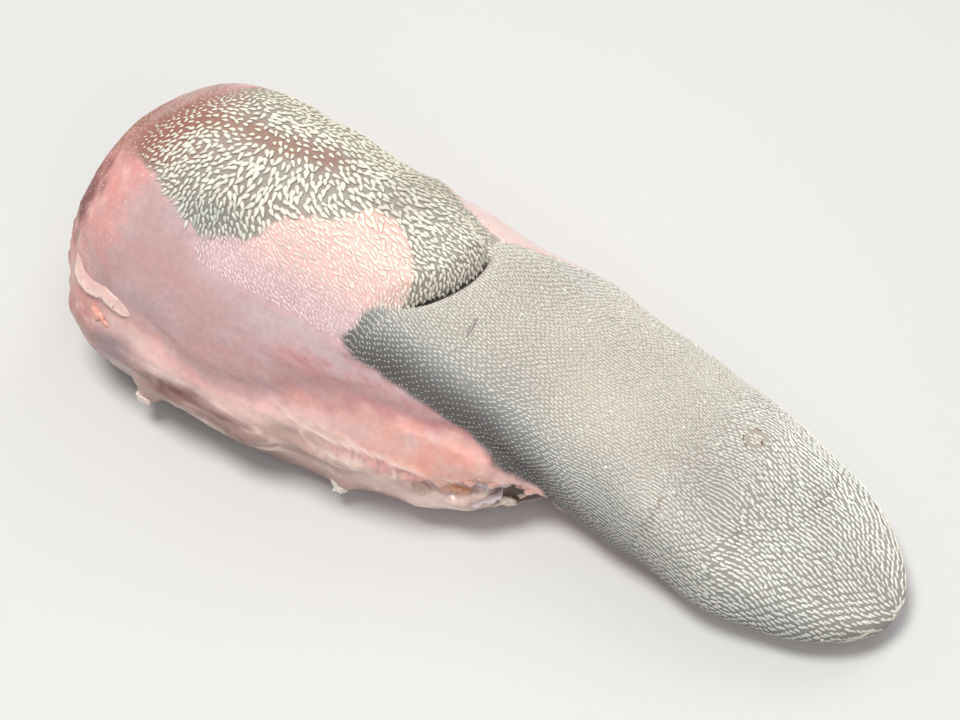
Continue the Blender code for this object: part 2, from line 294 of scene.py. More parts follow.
# The finer mesh of the skin: how many rings and points round them, and where they stand closer together.
SKIN_RINGS, SKIN_POINTS, CUT_RINGS = 390, 236, 26
END_REGION, END_CROWDING, CREASE_REGION, CREASE_CROWDING = 0.014, 1.5, 0.005, 2.2
BASE_ANGLE, BASE_REGION, BASE_THINNING, SIDE_ANGLE, SIDE_REGION, SIDE_CROWDING = 290, 50, 0.6, 195, 30, 0.5
CROWDING_STEPS = 2000
MM = 0.001
NOISE_CELLS = 32

# Distances round the skin are counted from the middle of the back, and distances along it are measured on the
# hump's crest.
BACK_MIDDLE, HUMP_CREST = 97.0, 105
# About how many millimetres one degree round a section is: near the edges, and on the blade.
EDGE_MM_A_DEGREE, BLADE_MM_A_DEGREE = 0.87, 0.66


def noise(points, size, seed):
    """Smooth noise from -1 to 1 that varies over the given size, at each of the points."""
    table = np.random.default_rng(seed).uniform(-1, 1, (NOISE_CELLS,) * 3)
    scaled = np.asarray(points) / size
    cell = np.floor(scaled).astype(int)
    t = scaled - cell
    t = t * t * (3 - 2 * t)
    total = 0.0
    for i in (0, 1):
        for j in (0, 1):
            for k in (0, 1):
                corner = (cell + (i, j, k)) % NOISE_CELLS
                near = np.where((i, j, k), t, 1 - t).prod(axis=-1)
                total = total + near * table[corner[..., 0], corner[..., 1], corner[..., 2]]
    return total


def rough_noise(points, size, seed):
    """Noise with two finer layers on it."""
    coarse, middle = noise(points, size, seed), noise(points, size / 2.1, seed + 1)
    return (coarse + 0.5 * middle + 0.25 * noise(points, size / 4.3, seed + 2)) / 1.5


def between(value, start, full, fading, end):
    """1 from full to fading, and 0 up to start and beyond end."""
    return rise(value, start, full) * (1 - rise(value, fading, end))


def mottle(usual, swing, pattern, most=1):
    """An amount that varies with a pattern of noise, kept from 0 to the most."""
    return np.clip(usual + swing * pattern, 0, most)


def turned(degrees):
    """Degrees round a section, from -90 under the left side over 90 on top to 270."""
    return (degrees + 90) % 360 - 90


def paint(red, green, blue):
    """A colour given as 0 to 255, in the linear values that materials use."""
    c = np.array([red, green, blue]) / 255
    return np.where(c <= 0.04045, c / 12.92, ((c + 0.055) / 1.055) ** 2.4)


def over(colour, mask, below):
    """The colour laid over what is below it, where the mask is 1."""
    return below + np.asarray(mask)[..., None] * (colour - below)


def layered(base, *layers):
    """The base colour with layers of colour and mask laid over it, one after another."""
    for colour, mask in layers:
        base = over(colour, mask, base)
    return base


# The front skin's edge: degrees round the section, and the place along the tongue in millimetres.
FRONT_EDGE = (
    (-90, 400), (-22, 400), (-18, 130), (-14, 88), (-8, 55), (-3, 38), (5, 26), (12, 22), (20, 21), (30, 19),
    (40, 17), (49, 14), (54, 9.5), (63, 3), (70, -3), (73, -5.5), (78, -6.5), (85, -6.2), (97, -4.8),
    (104, -5.5), (110, -7.3), (120, -11.4), (127, -14.8), (132, -17.8), (140, -24), (150, -29), (156, -30),
    (161, -24), (163, -9), (165, 6), (168, 17), (174, 27), (182, 36.5), (187, 42), (192, 46.5), (198, 51),
    (205, 56), (212, 68), (220, 120), (230, 400), (270, 400),
)

# The hump's dark skin. Its right and left edges, and the brown line along its middle, are given as place along
# the tongue in millimetres and degrees round. Its back edge is given as degrees round and place.
HUMP_RIGHT_EDGE = (
    (-158, 116), (-150, 125), (-146, 129), (-139, 132), (-132, 135), (-125, 138), (-118, 141), (-111, 144),
    (-103, 147), (-97, 148), (-90, 147), (-80, 142), (-74, 136), (-68, 129), (-58, 124), (-51, 121),
    (-46, 114), (-43, 106), (-40, 103), (-31, 104), (-26, 110), (-22, 114), (-19, 121), (-18, 130),
    (-14, 136), (0, 136),
)
HUMP_LEFT_EDGE = (
    (-155, 84), (-145, 76), (-135, 66), (-120, 58), (-60, 55), (-36, 59), (-26, 64), (-17, 66), (-10, 72),
    (0, 74),
)
HUMP_BACK_EDGE = ((60, -122), (85, -128), (98, -141), (110, -149), (122, -150), (132, -146), (140, -142))
MEDIAN_LINE = ((-143, 121), (-136, 112), (-126, 106), (-111, 103), (-92, 100), (-71, 95), (-40, 94))

# Where the other regions lie: mm is the place along the tongue in millimetres, and t is degrees round.
LOBE_MM, LOBE_LENGTH, LOBE_T = -98, 22, (130, 139)
MEDIAN_WIDTH, MEDIAN_MM = 6.5, (-150, -138, -74, -50)
LEFT_HALF_T = (76, 88)
PATCH_MM, PATCH_T = (-86, -70), (98, 103, 134, 152)
SMALL_MM, SMALL_T = (-106, -86), (126, 138, 150, 163)
BACK_MM, BACK_LEAN, BACK_LEAN_FROM, BACK_LEAN_LEAST = (-146, -118), 0.3, 150, -18
UNDER_RIGHT_T, UNDER_LEFT_T = (218, 232), (-52, -38)
BLADE_UNDER_RIGHT_T, BLADE_UNDER_LEFT_T = (206, 214), (-20, -12)


def along(pairs, value):
    """Reads the second numbers of the pairs where the first is the value."""
    return np.interp(value, [p[0] for p in pairs], [p[1] for p in pairs])


def regions(points, x, degrees):
    """How far each point belongs to each region of the surface, from 0 to 1."""
    t, mm = turned(degrees), x / MM
    wobble = noise(points, 0.006, 11)
    fine = noise(points, 0.0022, 12)

    slope = (along(FRONT_EDGE, t + 0.5) - along(FRONT_EDGE, t - 0.5)) / EDGE_MM_A_DEGREE
    beyond_edge = (mm - along(FRONT_EDGE, t)) / np.sqrt(1 + slope**2)
    front = rise(beyond_edge + 0.8 * wobble + 0.6 * fine, -1.3, 1.3)

    right_edge, left_edge = along(HUMP_RIGHT_EDGE, mm), along(HUMP_LEFT_EDGE, mm)
    inside = np.minimum(right_edge - t, t - left_edge) + 2.2 * wobble + 1.5 * fine
    behind = mm - along(HUMP_BACK_EDGE, t) + 5 * wobble
    hump = rise(inside, -1.5, 1.5) * rise(behind, -5, 5) * (1 - front)
    bare = (1 - front) * (1 - hump)

    below_groove = degrees_down(np.radians(degrees)) - smooth(x, GROOVE_AT_X, GROOVE_DOWN)
    leaning = np.maximum(BACK_LEAN * (t - BACK_LEAN_FROM), BACK_LEAN_LEAST)
    return {
        "front": front,
        "hump": hump,
        "lobe": bell(mm - LOBE_MM, LOBE_LENGTH) * rise(t, *LOBE_T) * hump,
        "median": bell(t - along(MEDIAN_LINE, mm), MEDIAN_WIDTH) * between(mm, *MEDIAN_MM) * hump,
        "left_half": hump * (1 - rise(t, *LEFT_HALF_T)),
        "pink_patch": rise(mm, *PATCH_MM) * between(t, *PATCH_T) * bare,
        "pink_small": rise(mm, *SMALL_MM) * between(t, *SMALL_T) * bare,
        "back": (1 - rise(mm + 6 * wobble + leaning, *BACK_MM)) * (1 - hump),
        "fat": rise(below_groove + 3 * wobble, 0, 5) * (1 - front),
        "under": rise(t, *UNDER_RIGHT_T) + 1 - rise(t, *UNDER_LEFT_T),
        "blade_under": front * (rise(t, *BLADE_UNDER_RIGHT_T) + 1 - rise(t, *BLADE_UNDER_LEFT_T)),
        "below_groove": below_groove, "t": t, "mm": mm, "wobble": wobble,
    }


# Colours, as they look in even light, apart from the painted shade laid in the crease, in the hollow under the
# lip and in the lines of the crinkles and folds.
WALL, WALL_PALE, WALL_RED, WALL_LOW = (
    paint(190, 156, 155), paint(198, 182, 184), paint(204, 146, 142), paint(184, 120, 120))
ROOT_RED, ROOT_PALE, ROOT_DARK, ROOT_MEAT = (
    paint(222, 150, 144), paint(240, 186, 178), paint(150, 98, 84), paint(116, 56, 50))
FAT_PINK, FAT_CREAM, FAT_GREY, FAT_ORANGE = (
    paint(204, 154, 150), paint(214, 190, 174), paint(174, 142, 132), paint(226, 156, 140))
FAT_RED = paint(196, 112, 106)
# The grey of membranes, also laid in the furrows of the crinkles as painted shade.
ROLL_PALE, MEMBRANE_GREY_AND_CRINKLE_SHADE, CORD_PALE = paint(226, 192, 188), paint(142, 118, 124), paint(238, 212, 202)
# The last is painted shade for the hollow under the lip.
MEAT, MEAT_BRIGHT, RECESS_SHADE = paint(96, 46, 44), paint(150, 66, 60), paint(74, 52, 44)
HUMP_GAP, HUMP_BROWN, HUMP_LEFT, LOBE_GAP = (
    paint(152, 145, 136), paint(146, 118, 104), paint(160, 156, 142), paint(134, 130, 124))
PATCH_PINK, SMALL_PINK = paint(238, 192, 184), paint(214, 178, 181)
FRONT_CREAM, FRONT_WARM, FRONT_GREY, FRONT_DARK, FRONT_TIP = (
    paint(168, 164, 153), paint(190, 175, 160), paint(150, 152, 152), paint(84, 80, 79), paint(142, 140, 133))
BLADE_UNDER, STRIP_PINK = paint(206, 188, 180), paint(236, 206, 198)
# The first is painted shade for the crease; the last is the brown of the marks and painted shade in the folds.
CREASE_DARK, SCAR_PINK, MARK_BROWN_AND_FOLD_SHADE = paint(38, 35, 32), paint(196, 164, 148), paint(112, 98, 86)
# How much of its red, green and blue the fat loses near the root.
NEAR_ROOT_LOSS = (0.16, 0.23, 0.24)

# The dark band along the front skin's right edge: place in millimetres, with the degrees round where the band
# starts and where it is full, and with how dark it is.
DARK_START_T = ((-30, 134), (0, 139), (25, 141), (35, 142), (45, 146), (60, 158), (175, 168))
DARK_FULL_T = ((-30, 160), (0, 160), (25, 162), (35, 174), (45, 188), (60, 194), (175, 200))
DARK_STRENGTH = ((-30, 0.8), (-12, 0.95), (6, 1.0), (45, 1.0), (60, 0.9), (110, 0.65), (172, 0.55))

# Parts of the wall, the root and the fat, in millimetres along and degrees round or below the groove.
LOW_WALL_BELOW, LOW_WALL_MM, ROOT_WALL_MM = (-34, -6), (-66, -34), (122, 145)
FAR_ROOT_MM, FAR_ROOT_RIGHT_T, FAR_ROOT_LEFT_T = (-140, -122), (118, 138), (30, 75)
BARE_END_MM, BARE_END_T = (-155, -147), (122, 140)
STRIP_MM, STRIP_RIGHT_T, STRIP_LEFT_T = (-78, -22), (78, 88), (-30, 30)
FLUSH_MM, FLUSH_LENGTH, FLUSH_T = 8, 13, (166, 174)
NEAR_ROOT_MM, NEAR_ROOT_T = (-134, -114), (160, 180)
GREY_FAT_T, CLEAN_FAT_MM, CLEAN_FAT_LENGTH = (190, 206), -4, 20
RIGHT_FAT_T, STRAND_T, ROOT_FAT_MM = (170, 180), (186, 190), (-130, -116)
ORANGE_MM, ORANGE_LENGTH = 14, 26
MEMBRANE_MM, MEMBRANE_T, MEMBRANE_SIZE = -115, 203, 10
LOW_FAT_MM, LOW_FAT_LENGTH, LOW_FAT_T = 4, 26, (190, 202, 212, 224)
MEAT_STRIP_MM, MEAT_STRIP_START_T, MEAT_STRIP_END_T = (-112, -90, -68, -42), (200, 206), (209, 220)

# Two lines on the roll of fat, as place along the tongue in millimetres and degrees round the section:
# the pale cord, and the ragged lip of the floor of the mouth.
CORD = ((-72, 191), (-60, 189), (-49, 190), (-37, 192), (-21, 191), (-4, 187), (7, 188), (13, 190))
CORD_WIDTH, CORD_MM = 0.55, (-66, -40, 6, 14)
LIP = (
    (-28, 207), (-12, 202), (-3, 198), (7, 193), (13, 191), (17, 192), (20, 190), (22, 188), (24, 186),
    (26, 183), (29, 183), (31, 185), (34, 186), (37, 188), (40, 191), (44, 194),
)
LIP_MM, LIP_HOLLOW_MM, RECESS_MM = (-26, -8, 44, 50), (-2, 16), (26, 36, 46, 52)
CRINKLES_MM, CRINKLES_BELOW_CORD, CRINKLES_END_T = (-44, -24, 16, 26), (0.5, 2), (201, 208)
CREASE_T, CREASE_SHADE_FORWARD, CREASE_SHADE_WIDTH = (84, 92, 128, 136), 0.0003, 0.0008
# Patterns of noise are longer along the axes where these numbers are smaller.
STREAK_STRETCH, CRINKLE_STRETCH = (0.16, 1.0, 1.0), (1.0, 0.35, 0.3)
CUT_STRETCH, GRAIN_STRETCH, SEAM_STRETCH = (1, 1, 0.4), (1, 1, 0.35), (1, 1, 0.6)

# On the front: brown marks as place in millimetres, degrees round and size in millimetres; a ring-shaped scar as
# place, degrees and radius; and folds as place, first and last degrees and millimetres of lean a degree.
MARKS = ((9, 61, 1.5), (21, 73, 1.2), (37, 74, 1.1), (45, 64, 1.2))
SCAR_MM, SCAR_T, SCAR_RADIUS = 101, 72.5, 3.2
FOLDS = ((87, 128, 158, -0.03), (133, 46, 84, -0.03), (113, 108, 122, 0.25))


def darkness(mm, t):
    """How dark the front skin is: a dark lobe and band along its right edge, fading upwards."""
    return rise(t, along(DARK_START_T, mm), along(DARK_FULL_T, mm)) * along(DARK_STRENGTH, mm)


def painted_front_shading(mm, t):
    """Painted light and shade on the front skin: shade low on its near edge and in one patch, light on its far
    edge.
    """
    near_edge = rise(t, 132, 160) * rise(mm, 50, 72) * (1 - 0.5 * rise(mm, 160, 172))
    far_edge = (1 - rise(t, 52, 86)) * (1 - 0.5 * bell(mm - 78, 20))
    shadow_patch = bell(np.hypot(mm - 98, 0.9 * (t - 104)), 15)
    return 1 - 0.24 * near_edge + 0.17 * far_edge - 0.16 * shadow_patch


def wall_colour(r, points, broad, middle, streaks):
    """The smooth wall on the side, the root, and the pink skin beside the hump."""
    t, mm, wobble = r["t"], r["mm"], r["wobble"]
    low = rise(r["below_groove"], *LOW_WALL_BELOW) * (0.35 + 0.65 * rise(mm, *LOW_WALL_MM))
    reddened = 0.45 * streaks + 0.5 * rise(-mm, *ROOT_WALL_MM)
    pale_spots = rough_noise(points, 0.005, 27)
    far_root = (1 - rise(mm, *FAR_ROOT_MM)) * (1 - rise(t + 4 * wobble, *FAR_ROOT_RIGHT_T))
    far_root = far_root * rise(t, *FAR_ROOT_LEFT_T)
    bare_end = (1 - rise(mm + 2.5 * wobble, *BARE_END_MM)) * rise(t, *BARE_END_T)
    lines = bell(noise(points * STREAK_STRETCH, 0.0030, 24), 0.12) * bell(r["below_groove"] + 9, 9)
    strip = rise(mm + 12 * broad, *STRIP_MM) * (1 - rise(t, *STRIP_RIGHT_T)) * rise(t, *STRIP_LEFT_T)
    return layered(
        np.broadcast_to(WALL, points.shape),
        (WALL_PALE, mottle(0.4, 0.9, broad)),
        (WALL_LOW, low * mottle(0.55, 0.5, streaks)),
        (WALL_RED, mottle(0.02, 1, reddened, 0.8)),
        (ROOT_RED, r["back"] * mottle(0.75, 0.6, middle)),
        (ROOT_PALE, r["back"] * mottle(0, 1.3, pale_spots, 0.8)),
        (ROOT_DARK, far_root * mottle(0.95, 0.5, middle)),
        (ROOT_MEAT, 0.95 * bare_end * mottle(0.7, 0.8, middle)),
        (WALL_LOW, 0.55 * lines * rise(mm, -90, -40)),
        (STRIP_PINK, 0.85 * strip),
        (FAT_RED, 0.45 * bell(mm - FLUSH_MM, FLUSH_LENGTH) * rise(t, *FLUSH_T)),
        (SMALL_PINK, 0.8 * r["pink_small"]),
        (PATCH_PINK, 0.9 * r["pink_patch"]),
    )


def fat_colour(r, points, middle, streaks):
    """The roll of fat and gristle, with the meat that shows at the base, and painted shade in crinkles and under
    the lip.
    """
    t, mm, below = r["t"], r["mm"], r["below_groove"]
    greyed = mottle(0.2, 1, 1.1 * middle + rise(t, *GREY_FAT_T), 0.9)
    edge_red = bell(below - 1.5, 4) * mottle(0.2, 0.8, streaks, 0.7)
    root_red = 0.45 * (1 - rise(mm, *ROOT_FAT_MM))
    orange = bell(mm - ORANGE_MM, ORANGE_LENGTH) * bell(below - 9, 9) + 0.25 * bell(below - 2, 3)
    strands = bell(noise(points * STREAK_STRETCH, 0.0045, 25) - 0.35, 0.09) * rise(t, *STRAND_T)
    membrane = bell(mm - MEMBRANE_MM, MEMBRANE_SIZE) * bell(t - MEMBRANE_T, MEMBRANE_SIZE)
    meat_strip = between(mm + 12 * middle, *MEAT_STRIP_MM) * rise(t + 3 * r["wobble"], *MEAT_STRIP_START_T)
    meat_strip = meat_strip * (1 - rise(t + 9 * middle, *MEAT_STRIP_END_T)) * mottle(0.85, 0.8, streaks)
    bared = r["under"] * mottle(0.5, 1.4, streaks)
    return layered(
        np.broadcast_to(FAT_PINK, points.shape),
        (FAT_CREAM, mottle(0.4, 1.3, streaks)),
        (FAT_GREY, greyed * (1 - 0.8 * bell(mm - CLEAN_FAT_MM, CLEAN_FAT_LENGTH))),
        (ROLL_PALE, 0.75 * bell(below - 7, 5)),
        (FAT_RED, np.maximum(edge_red, root_red) * rise(t, *RIGHT_FAT_T)),
        (FAT_ORANGE, np.clip(orange * (0.6 + 0.9 * middle), 0, 0.8)),
        # Painted shade in the furrows of the crinkles.
        (MEMBRANE_GREY_AND_CRINKLE_SHADE, 0.5 * crinkles(mm, t, points)),
        (CORD_PALE, 0.9 * cord(mm, t)),
        (CORD_PALE, 0.6 * strands),
        (MEMBRANE_GREY_AND_CRINKLE_SHADE, membrane),
        (CORD_PALE, 0.7 * bell(mm - LOW_FAT_MM, LOW_FAT_LENGTH) * between(t, *LOW_FAT_T)),
        (MEAT, 0.9 * np.maximum(bared, meat_strip)),
        # Painted shade in the hollow under the lip.
        (RECESS_SHADE, lip_hollow_shade(mm, t, points)),
    )


def hump_colour(r, points, middle):
    """The skin between the hump's papillae."""
    t, mm = r["t"], r["mm"]
    root_side = (1 - rise(mm + 4 * r["wobble"], -136, -112)) * (1 - rise(t, 124, 141))
    return layered(
        np.broadcast_to(HUMP_GAP, points.shape),
        (HUMP_BROWN, mottle(0.1, 1, middle, 0.4) * (1 - rise(mm, -62, -46))),
        (LOBE_GAP, r["lobe"]),
        (HUMP_LEFT, 0.8 * r["left_half"]),
        (HUMP_BROWN, mottle(0, 1.3, r["median"])),
        (ROOT_DARK, 0.9 * root_side),
    )


def front_colour(r, points, broad):
    """The front skin between its papillae, with its marks and painted light and shade, and the skin under the
    blade.
    """
    t, mm = r["t"], r["mm"]
    dark = darkness(mm, t)
    light = layered(
        np.broadcast_to(FRONT_CREAM, points.shape),
        (FRONT_WARM, bell(mm - 45, 38) * bell(t - 104, 26)),
        (FRONT_GREY, np.clip(rise(t, 126, 160) + 0.5 * broad, 0, 1)),
        (FRONT_TIP, 0.85 * rise(mm, 70, 125)),
    )
    return layered(
        # Painted light and shade of the front skin.
        light * painted_front_shading(mm, t)[..., None],
        (FRONT_DARK, dark),
        # Painted shade where the dark band runs into the hollow of the crease.
        (CREASE_DARK, 0.3 * dark * (1 - rise(mm, -14, 4))),
        # Brown marks, and painted shade in the lines of the folds.
        (MARK_BROWN_AND_FOLD_SHADE, np.clip(0.6 * brown_marks(mm, t) + 0.4 * folds(mm, t), 0, 0.8)),
        (SCAR_PINK, 0.5 * bell(from_scar(mm, t), 4)),
        (BLADE_UNDER, r["blade_under"]),
    )


def tint(r, points):
    """The colour of the skin and flesh."""
    broad, middle = rough_noise(points, 0.022, 21), rough_noise(points, 0.007, 22)
    streaks = rough_noise(points * STREAK_STRETCH, 0.0040, 23)
    wall = wall_colour(r, points, broad, middle, streaks)
    colour = over(fat_colour(r, points, middle, streaks), r["fat"], wall)
    near_root = (1 - rise(r["mm"] + 5 * r["wobble"], *NEAR_ROOT_MM)) * rise(r["t"], *NEAR_ROOT_T)
    colour = colour * (1 - near_root[..., None] * NEAR_ROOT_LOSS)
    colour = over(hump_colour(r, points, middle), r["hump"], colour)
    return over(front_colour(r, points, broad), r["front"], colour)


def from_scar(mm, t):
    """Millimetres from the middle of the scar."""
    return np.hypot(mm - SCAR_MM, BLADE_MM_A_DEGREE * (t - SCAR_T))


def brown_marks(mm, t):
    """1 on the small brown marks."""
    marks = (bell(np.hypot(mm - x, 0.75 * (t - degrees)), size) for x, degrees, size in MARKS)
    return np.clip(sum(marks), 0, 1)


def folds(mm, t):
    """Shallow folds across the blade: 1 in the line of each, which is sunk and painted with shade."""
    total = 0.0
    for x, first, last, lean in FOLDS:
        across = mm - x - lean * (t - first)
        total = total + bell(across, 1.5) * between(t, first - 4, first + 3, last - 3, last + 4)
    return total


def cord(mm, t):
    """1 on the thin pale cord along the roll of fat."""
    return bell(t - along(CORD, mm), CORD_WIDTH) * between(mm, *CORD_MM)


def crinkles(mm, t, points):
    """Fine wrinkles that run across the roll of fat, below the cord; 1 in their furrows, sunk and painted with
    shade.
    """
    here = between(mm, *CRINKLES_MM) * rise(t - along(CORD, mm), *CRINKLES_BELOW_CORD)
    return here * (1 - rise(t, *CRINKLES_END_T)) * bell(noise(points * CRINKLE_STRETCH, 0.0016, 26), 0.16)


def below_lip(mm, t, points):
    """Degrees round below the ragged lip."""
    return t - along(LIP, mm) + 1.3 * noise(points, 0.0026, 41) + 1.2 * noise(points, 0.006, 42)


def lip_hollow_shade(mm, t, points):
    """1 in the hollow under the lip, where painted shade darkens the fat."""
    return between(mm, *RECESS_MM) * between(below_lip(mm, t, points), 0, 1, 9, 16)


def lip_relief(mm, t, points):
    """A step down below the ragged lip, in metres."""
    below = below_lip(mm, t, points)
    shelf = 0.0010 * between(below, -6, -1, -0.6, 0.6)
    hollow = 0.0024 * between(below, -0.6, 0.8, 7, 14) * rise(mm, *LIP_HOLLOW_MM)
    return between(mm, *LIP_MM) * (shelf - hollow)


def crease_shade(place, angle):
    """1 in the crease in front of the hump, which is sunk and painted darker, partly as painted shade."""
    across = between(turned(np.degrees(angle)), *CREASE_T)
    return across * bell(place - HUMP_FRONT - CREASE_SHADE_FORWARD, CREASE_SHADE_WIDTH)


def fine_relief(r, place, angle, points):
    """What the finer skin adds to the CAD model's surface, in metres along its normal."""
    t, mm = r["t"], r["mm"]
    relief = -0.0006 * r["hump"] - 0.0003 * r["front"] - 0.0003 * (r["pink_patch"] + r["pink_small"])
    relief = relief - 0.0008 * crease_shade(place, angle)

    wall = (1 - np.clip(r["front"] + r["hump"], 0, 1)) * (1 - r["fat"])
    wrinkle_height = 0.0001 + 0.00025 * rise(r["below_groove"], -26, -6)
    wrinkles = wrinkle_height * noise(points * STREAK_STRETCH, 0.0026, 31)
    relief = relief + wall * (wrinkles + 0.0003 * noise(points, 0.013, 32))

    lumps = 0.0007 * rough_noise(points * STREAK_STRETCH, 0.008, 33) + 0.0003 * noise(points, 0.0035, 34)
    relief = relief + r["fat"] * (lumps + 0.0005 * noise(points * STREAK_STRETCH, 0.0028, 35))
    relief = relief + lip_relief(mm, t, points) + 0.0007 * cord(mm, t) - 0.0004 * crinkles(mm, t, points)

    scar_ring = 0.0005 * bell(from_scar(mm, t) - SCAR_RADIUS - 0.8, 0.9)
    return relief + r["front"] * (0.0004 * noise(points, 0.016, 36) + scar_ring - 0.0006 * folds(mm, t))


def wetness(r):
    """1 on wet membrane and fat, 0 on dry skin."""
    dry = r["hump"] + 0.8 * (1 - rise(r["mm"], *BARE_END_MM)) + 0.9 * r["front"]
    dry = dry + 0.8 * (r["pink_patch"] + r["pink_small"])
    return np.clip(1 - dry + r["blade_under"], 0, 1)


# How far the finer relief fades towards the ends, and values of the cut across the root.
RELIEF_SHARES, TIP_WETNESS, CUT_ROUGHNESS, CUT_RIM = (0.2, 0.7), 0.3, 0.0009, (0.84, 0.97)


class Skin:
    """The finer skin: its mesh grid, and places and directions on it."""

    def __init__(self):
        self.places = skin_places()
        self.angles = skin_angles()
        place, angle = self.places[:, None], self.angles[None, :]
        plain = surface(place, angle)
        x = bend_to_arc(place, angle)
        r = regions(plain, x, np.degrees(angle) + 0 * place)
        share = rise(np.prod(end_shares(x), axis=0), *RELIEF_SHARES)
        relief = fine_relief(r, place, angle, plain) * share
        self.points = plain + self.normals_of(plain) * relief[..., None]
        self.points[..., 2] = np.maximum(self.points[..., 2], 0)
        self.points = np.clip(self.points, cad_box[0], cad_box[1])
        self.normals = self.normals_of(self.points)
        self.forward = self.steps(self.points)[0]
        # The crease is painted darker: partly the skin's own dark line, partly painted shade.
        self.colours = over(CREASE_DARK, crease_shade(place, angle), tint(r, plain))
        self.wet = wetness(r)
        self.arcs = self.arc_lengths()
        crest = self.points[:, self.column_at(HUMP_CREST)]
        self.reach = np.concatenate([[0], np.cumsum(np.linalg.norm(np.diff(crest, axis=0), axis=1))])

    def steps(self, points):
        """The steps of the grid, ahead and round."""
        forward = np.gradient(points, axis=0)
        round_it = (np.roll(points, -1, axis=1) - np.roll(points, 1, axis=1)) / 2
        return forward, round_it

    def normals_of(self, points):
        """The directions out of the skin at the grid's points."""
        forward, round_it = self.steps(points)
        normal = np.cross(round_it, forward)
        return normal / np.maximum(np.linalg.norm(normal, axis=-1, keepdims=True), 1e-12)

    def column_at(self, degrees):
        """The grid's column nearest to this many degrees round."""
        return np.argmin(np.abs(np.degrees(self.angles) - degrees))

    def arc_lengths(self):
        """Distance round each ring from the middle of the back, towards the right side."""
        closed = np.concatenate([self.points, self.points[:, :1]], axis=1)
        run = np.cumsum(np.linalg.norm(np.diff(closed, axis=1), axis=2), axis=1)
        run = np.concatenate([np.zeros((len(run), 1)), run[:, :-1]], axis=1)
        middle = self.column_at(BACK_MIDDLE)
        return run - run[:, middle : middle + 1]

    def angles_at(self, place, side):
        """The angles of points that lie this far round from the middle of the back."""
        row = np.clip(np.searchsorted(self.places, place), 0, len(self.places) - 1)
        found = np.empty(len(place))
        for i, (k, distance) in enumerate(zip(row, side)):
            found[i] = np.interp(distance, self.arcs[k], self.angles)
        return found

    def frame_at(self, place, angle, heading):
        """Where places lie, with the directions ahead, beside and out of the skin there."""
        grids = (self.points, self.normals, self.forward)
        origin, normal, forward = (self.read(grid, place, angle) for grid in grids)
        normal = normal / np.linalg.norm(normal, axis=1, keepdims=True)
        forward = forward - normal * np.sum(forward * normal, axis=1, keepdims=True)
        forward = forward / np.linalg.norm(forward, axis=1, keepdims=True)
        turn = np.radians(heading)[:, None]
        ahead = np.cos(turn) * forward - np.sin(turn) * np.cross(normal, forward)
        return origin, ahead, np.cross(normal, ahead), normal

    def read(self, grid, place, angle):
        """Reads a grid of values between its points."""
        u = np.interp(place, self.places, np.arange(len(self.places)))
        ends = np.append(self.angles, self.angles[0] + 2 * math.pi)
        v = np.interp(angle % (2 * math.pi), ends, np.arange(len(ends)))
        i = np.clip(u.astype(int), 0, len(self.places) - 2)
        j = v.astype(int) % len(self.angles)
        k = (j + 1) % len(self.angles)
        a, b = (u - i)[:, None], (v - v.astype(int))[:, None]
        low = grid[i, j] * (1 - b) + grid[i, k] * b
        high = grid[i + 1, j] * (1 - b) + grid[i + 1, k] * b
        return low * (1 - a) + high * a


def skin_places():
    """Where the skin's rings stand along the tongue."""
    start = AT_X[0] + ROOT_ROUNDING * (1 - (1 - CUT_SHARE**ROOT_POWER) ** (1 / ROOT_POWER))
    end = AT_X[-1]

    def density(x):
        at_ends = END_CROWDING * (bell(x - start, END_REGION) + bell(x - end, END_REGION))
        return 1 + CREASE_CROWDING * bell(x - HUMP_FRONT, CREASE_REGION) + at_ends

    return crowd(start, end, SKIN_RINGS, density)


def skin_angles():
    """Where the points stand round each ring, in radians."""

    def density(degrees):
        thinner = BASE_THINNING * bell(degrees - BASE_ANGLE, BASE_REGION)
        return 1 - thinner + SIDE_CROWDING * bell(degrees - SIDE_ANGLE, SIDE_REGION)

    return np.radians(crowd(0, 360, SKIN_POINTS, density))


def add_attribute(mesh, name, values):
    """Gives a mesh's points a colour attribute."""
    layer = mesh.color_attributes.new(name, "FLOAT_COLOR", "POINT")
    layer.data.foreach_set("color", values.astype(np.float32).ravel())


def new_piece(name, points, faces, material, colours, wet=None):
    """A mesh object from arrays, riding on the body. The faces come as a list of arrays of corners."""
    mesh = bpy.data.meshes.new(name)
    counts = np.concatenate([np.full(len(block), block.shape[1]) for block in faces])
    corners = np.concatenate([block.ravel() for block in faces])
    mesh.vertices.add(len(points))
    mesh.vertices.foreach_set("co", np.ascontiguousarray(points, np.float32).ravel())
    mesh.loops.add(len(corners))
    mesh.loops.foreach_set("vertex_index", corners.astype(np.int32))
    mesh.polygons.add(len(counts))
    starts = np.concatenate([[0], np.cumsum(counts)[:-1]])
    mesh.polygons.foreach_set("loop_start", starts.astype(np.int32))
    mesh.polygons.foreach_set("use_smooth", np.ones(len(counts), bool))
    mesh.update(calc_edges=True)
    add_attribute(mesh, "tint", np.concatenate([np.clip(colours, 0, 1), np.ones((len(points), 1))], axis=1))
    if wet is not None:
        add_attribute(mesh, "wet", np.repeat(np.asarray(wet)[:, None], 4, axis=1))
    mesh.validate()
    piece = bpy.data.objects.new(name, mesh)
    bpy.context.scene.collection.objects.link(piece)
    mesh.materials.append(material)
    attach(piece, "root")
    return piece


def grid_faces(rows, columns):
    """Quads between rows of points that close round on themselves."""
    i, j = np.meshgrid(np.arange(rows - 1), np.arange(columns), indexing="ij")
    k = (j + 1) % columns
    below, above = i * columns, (i + 1) * columns
    return np.stack([below + j, below + k, above + k, above + j], -1).reshape(-1, 4)


def fan_faces(first, count, middle, backwards):
    """Triangles from a ring of points to one point."""
    i = np.arange(count)
    j = (i + 1) % count
    pair = (first + j, first + i) if backwards else (first + i, first + j)
    return np.stack([*pair, np.full(count, middle)], -1)


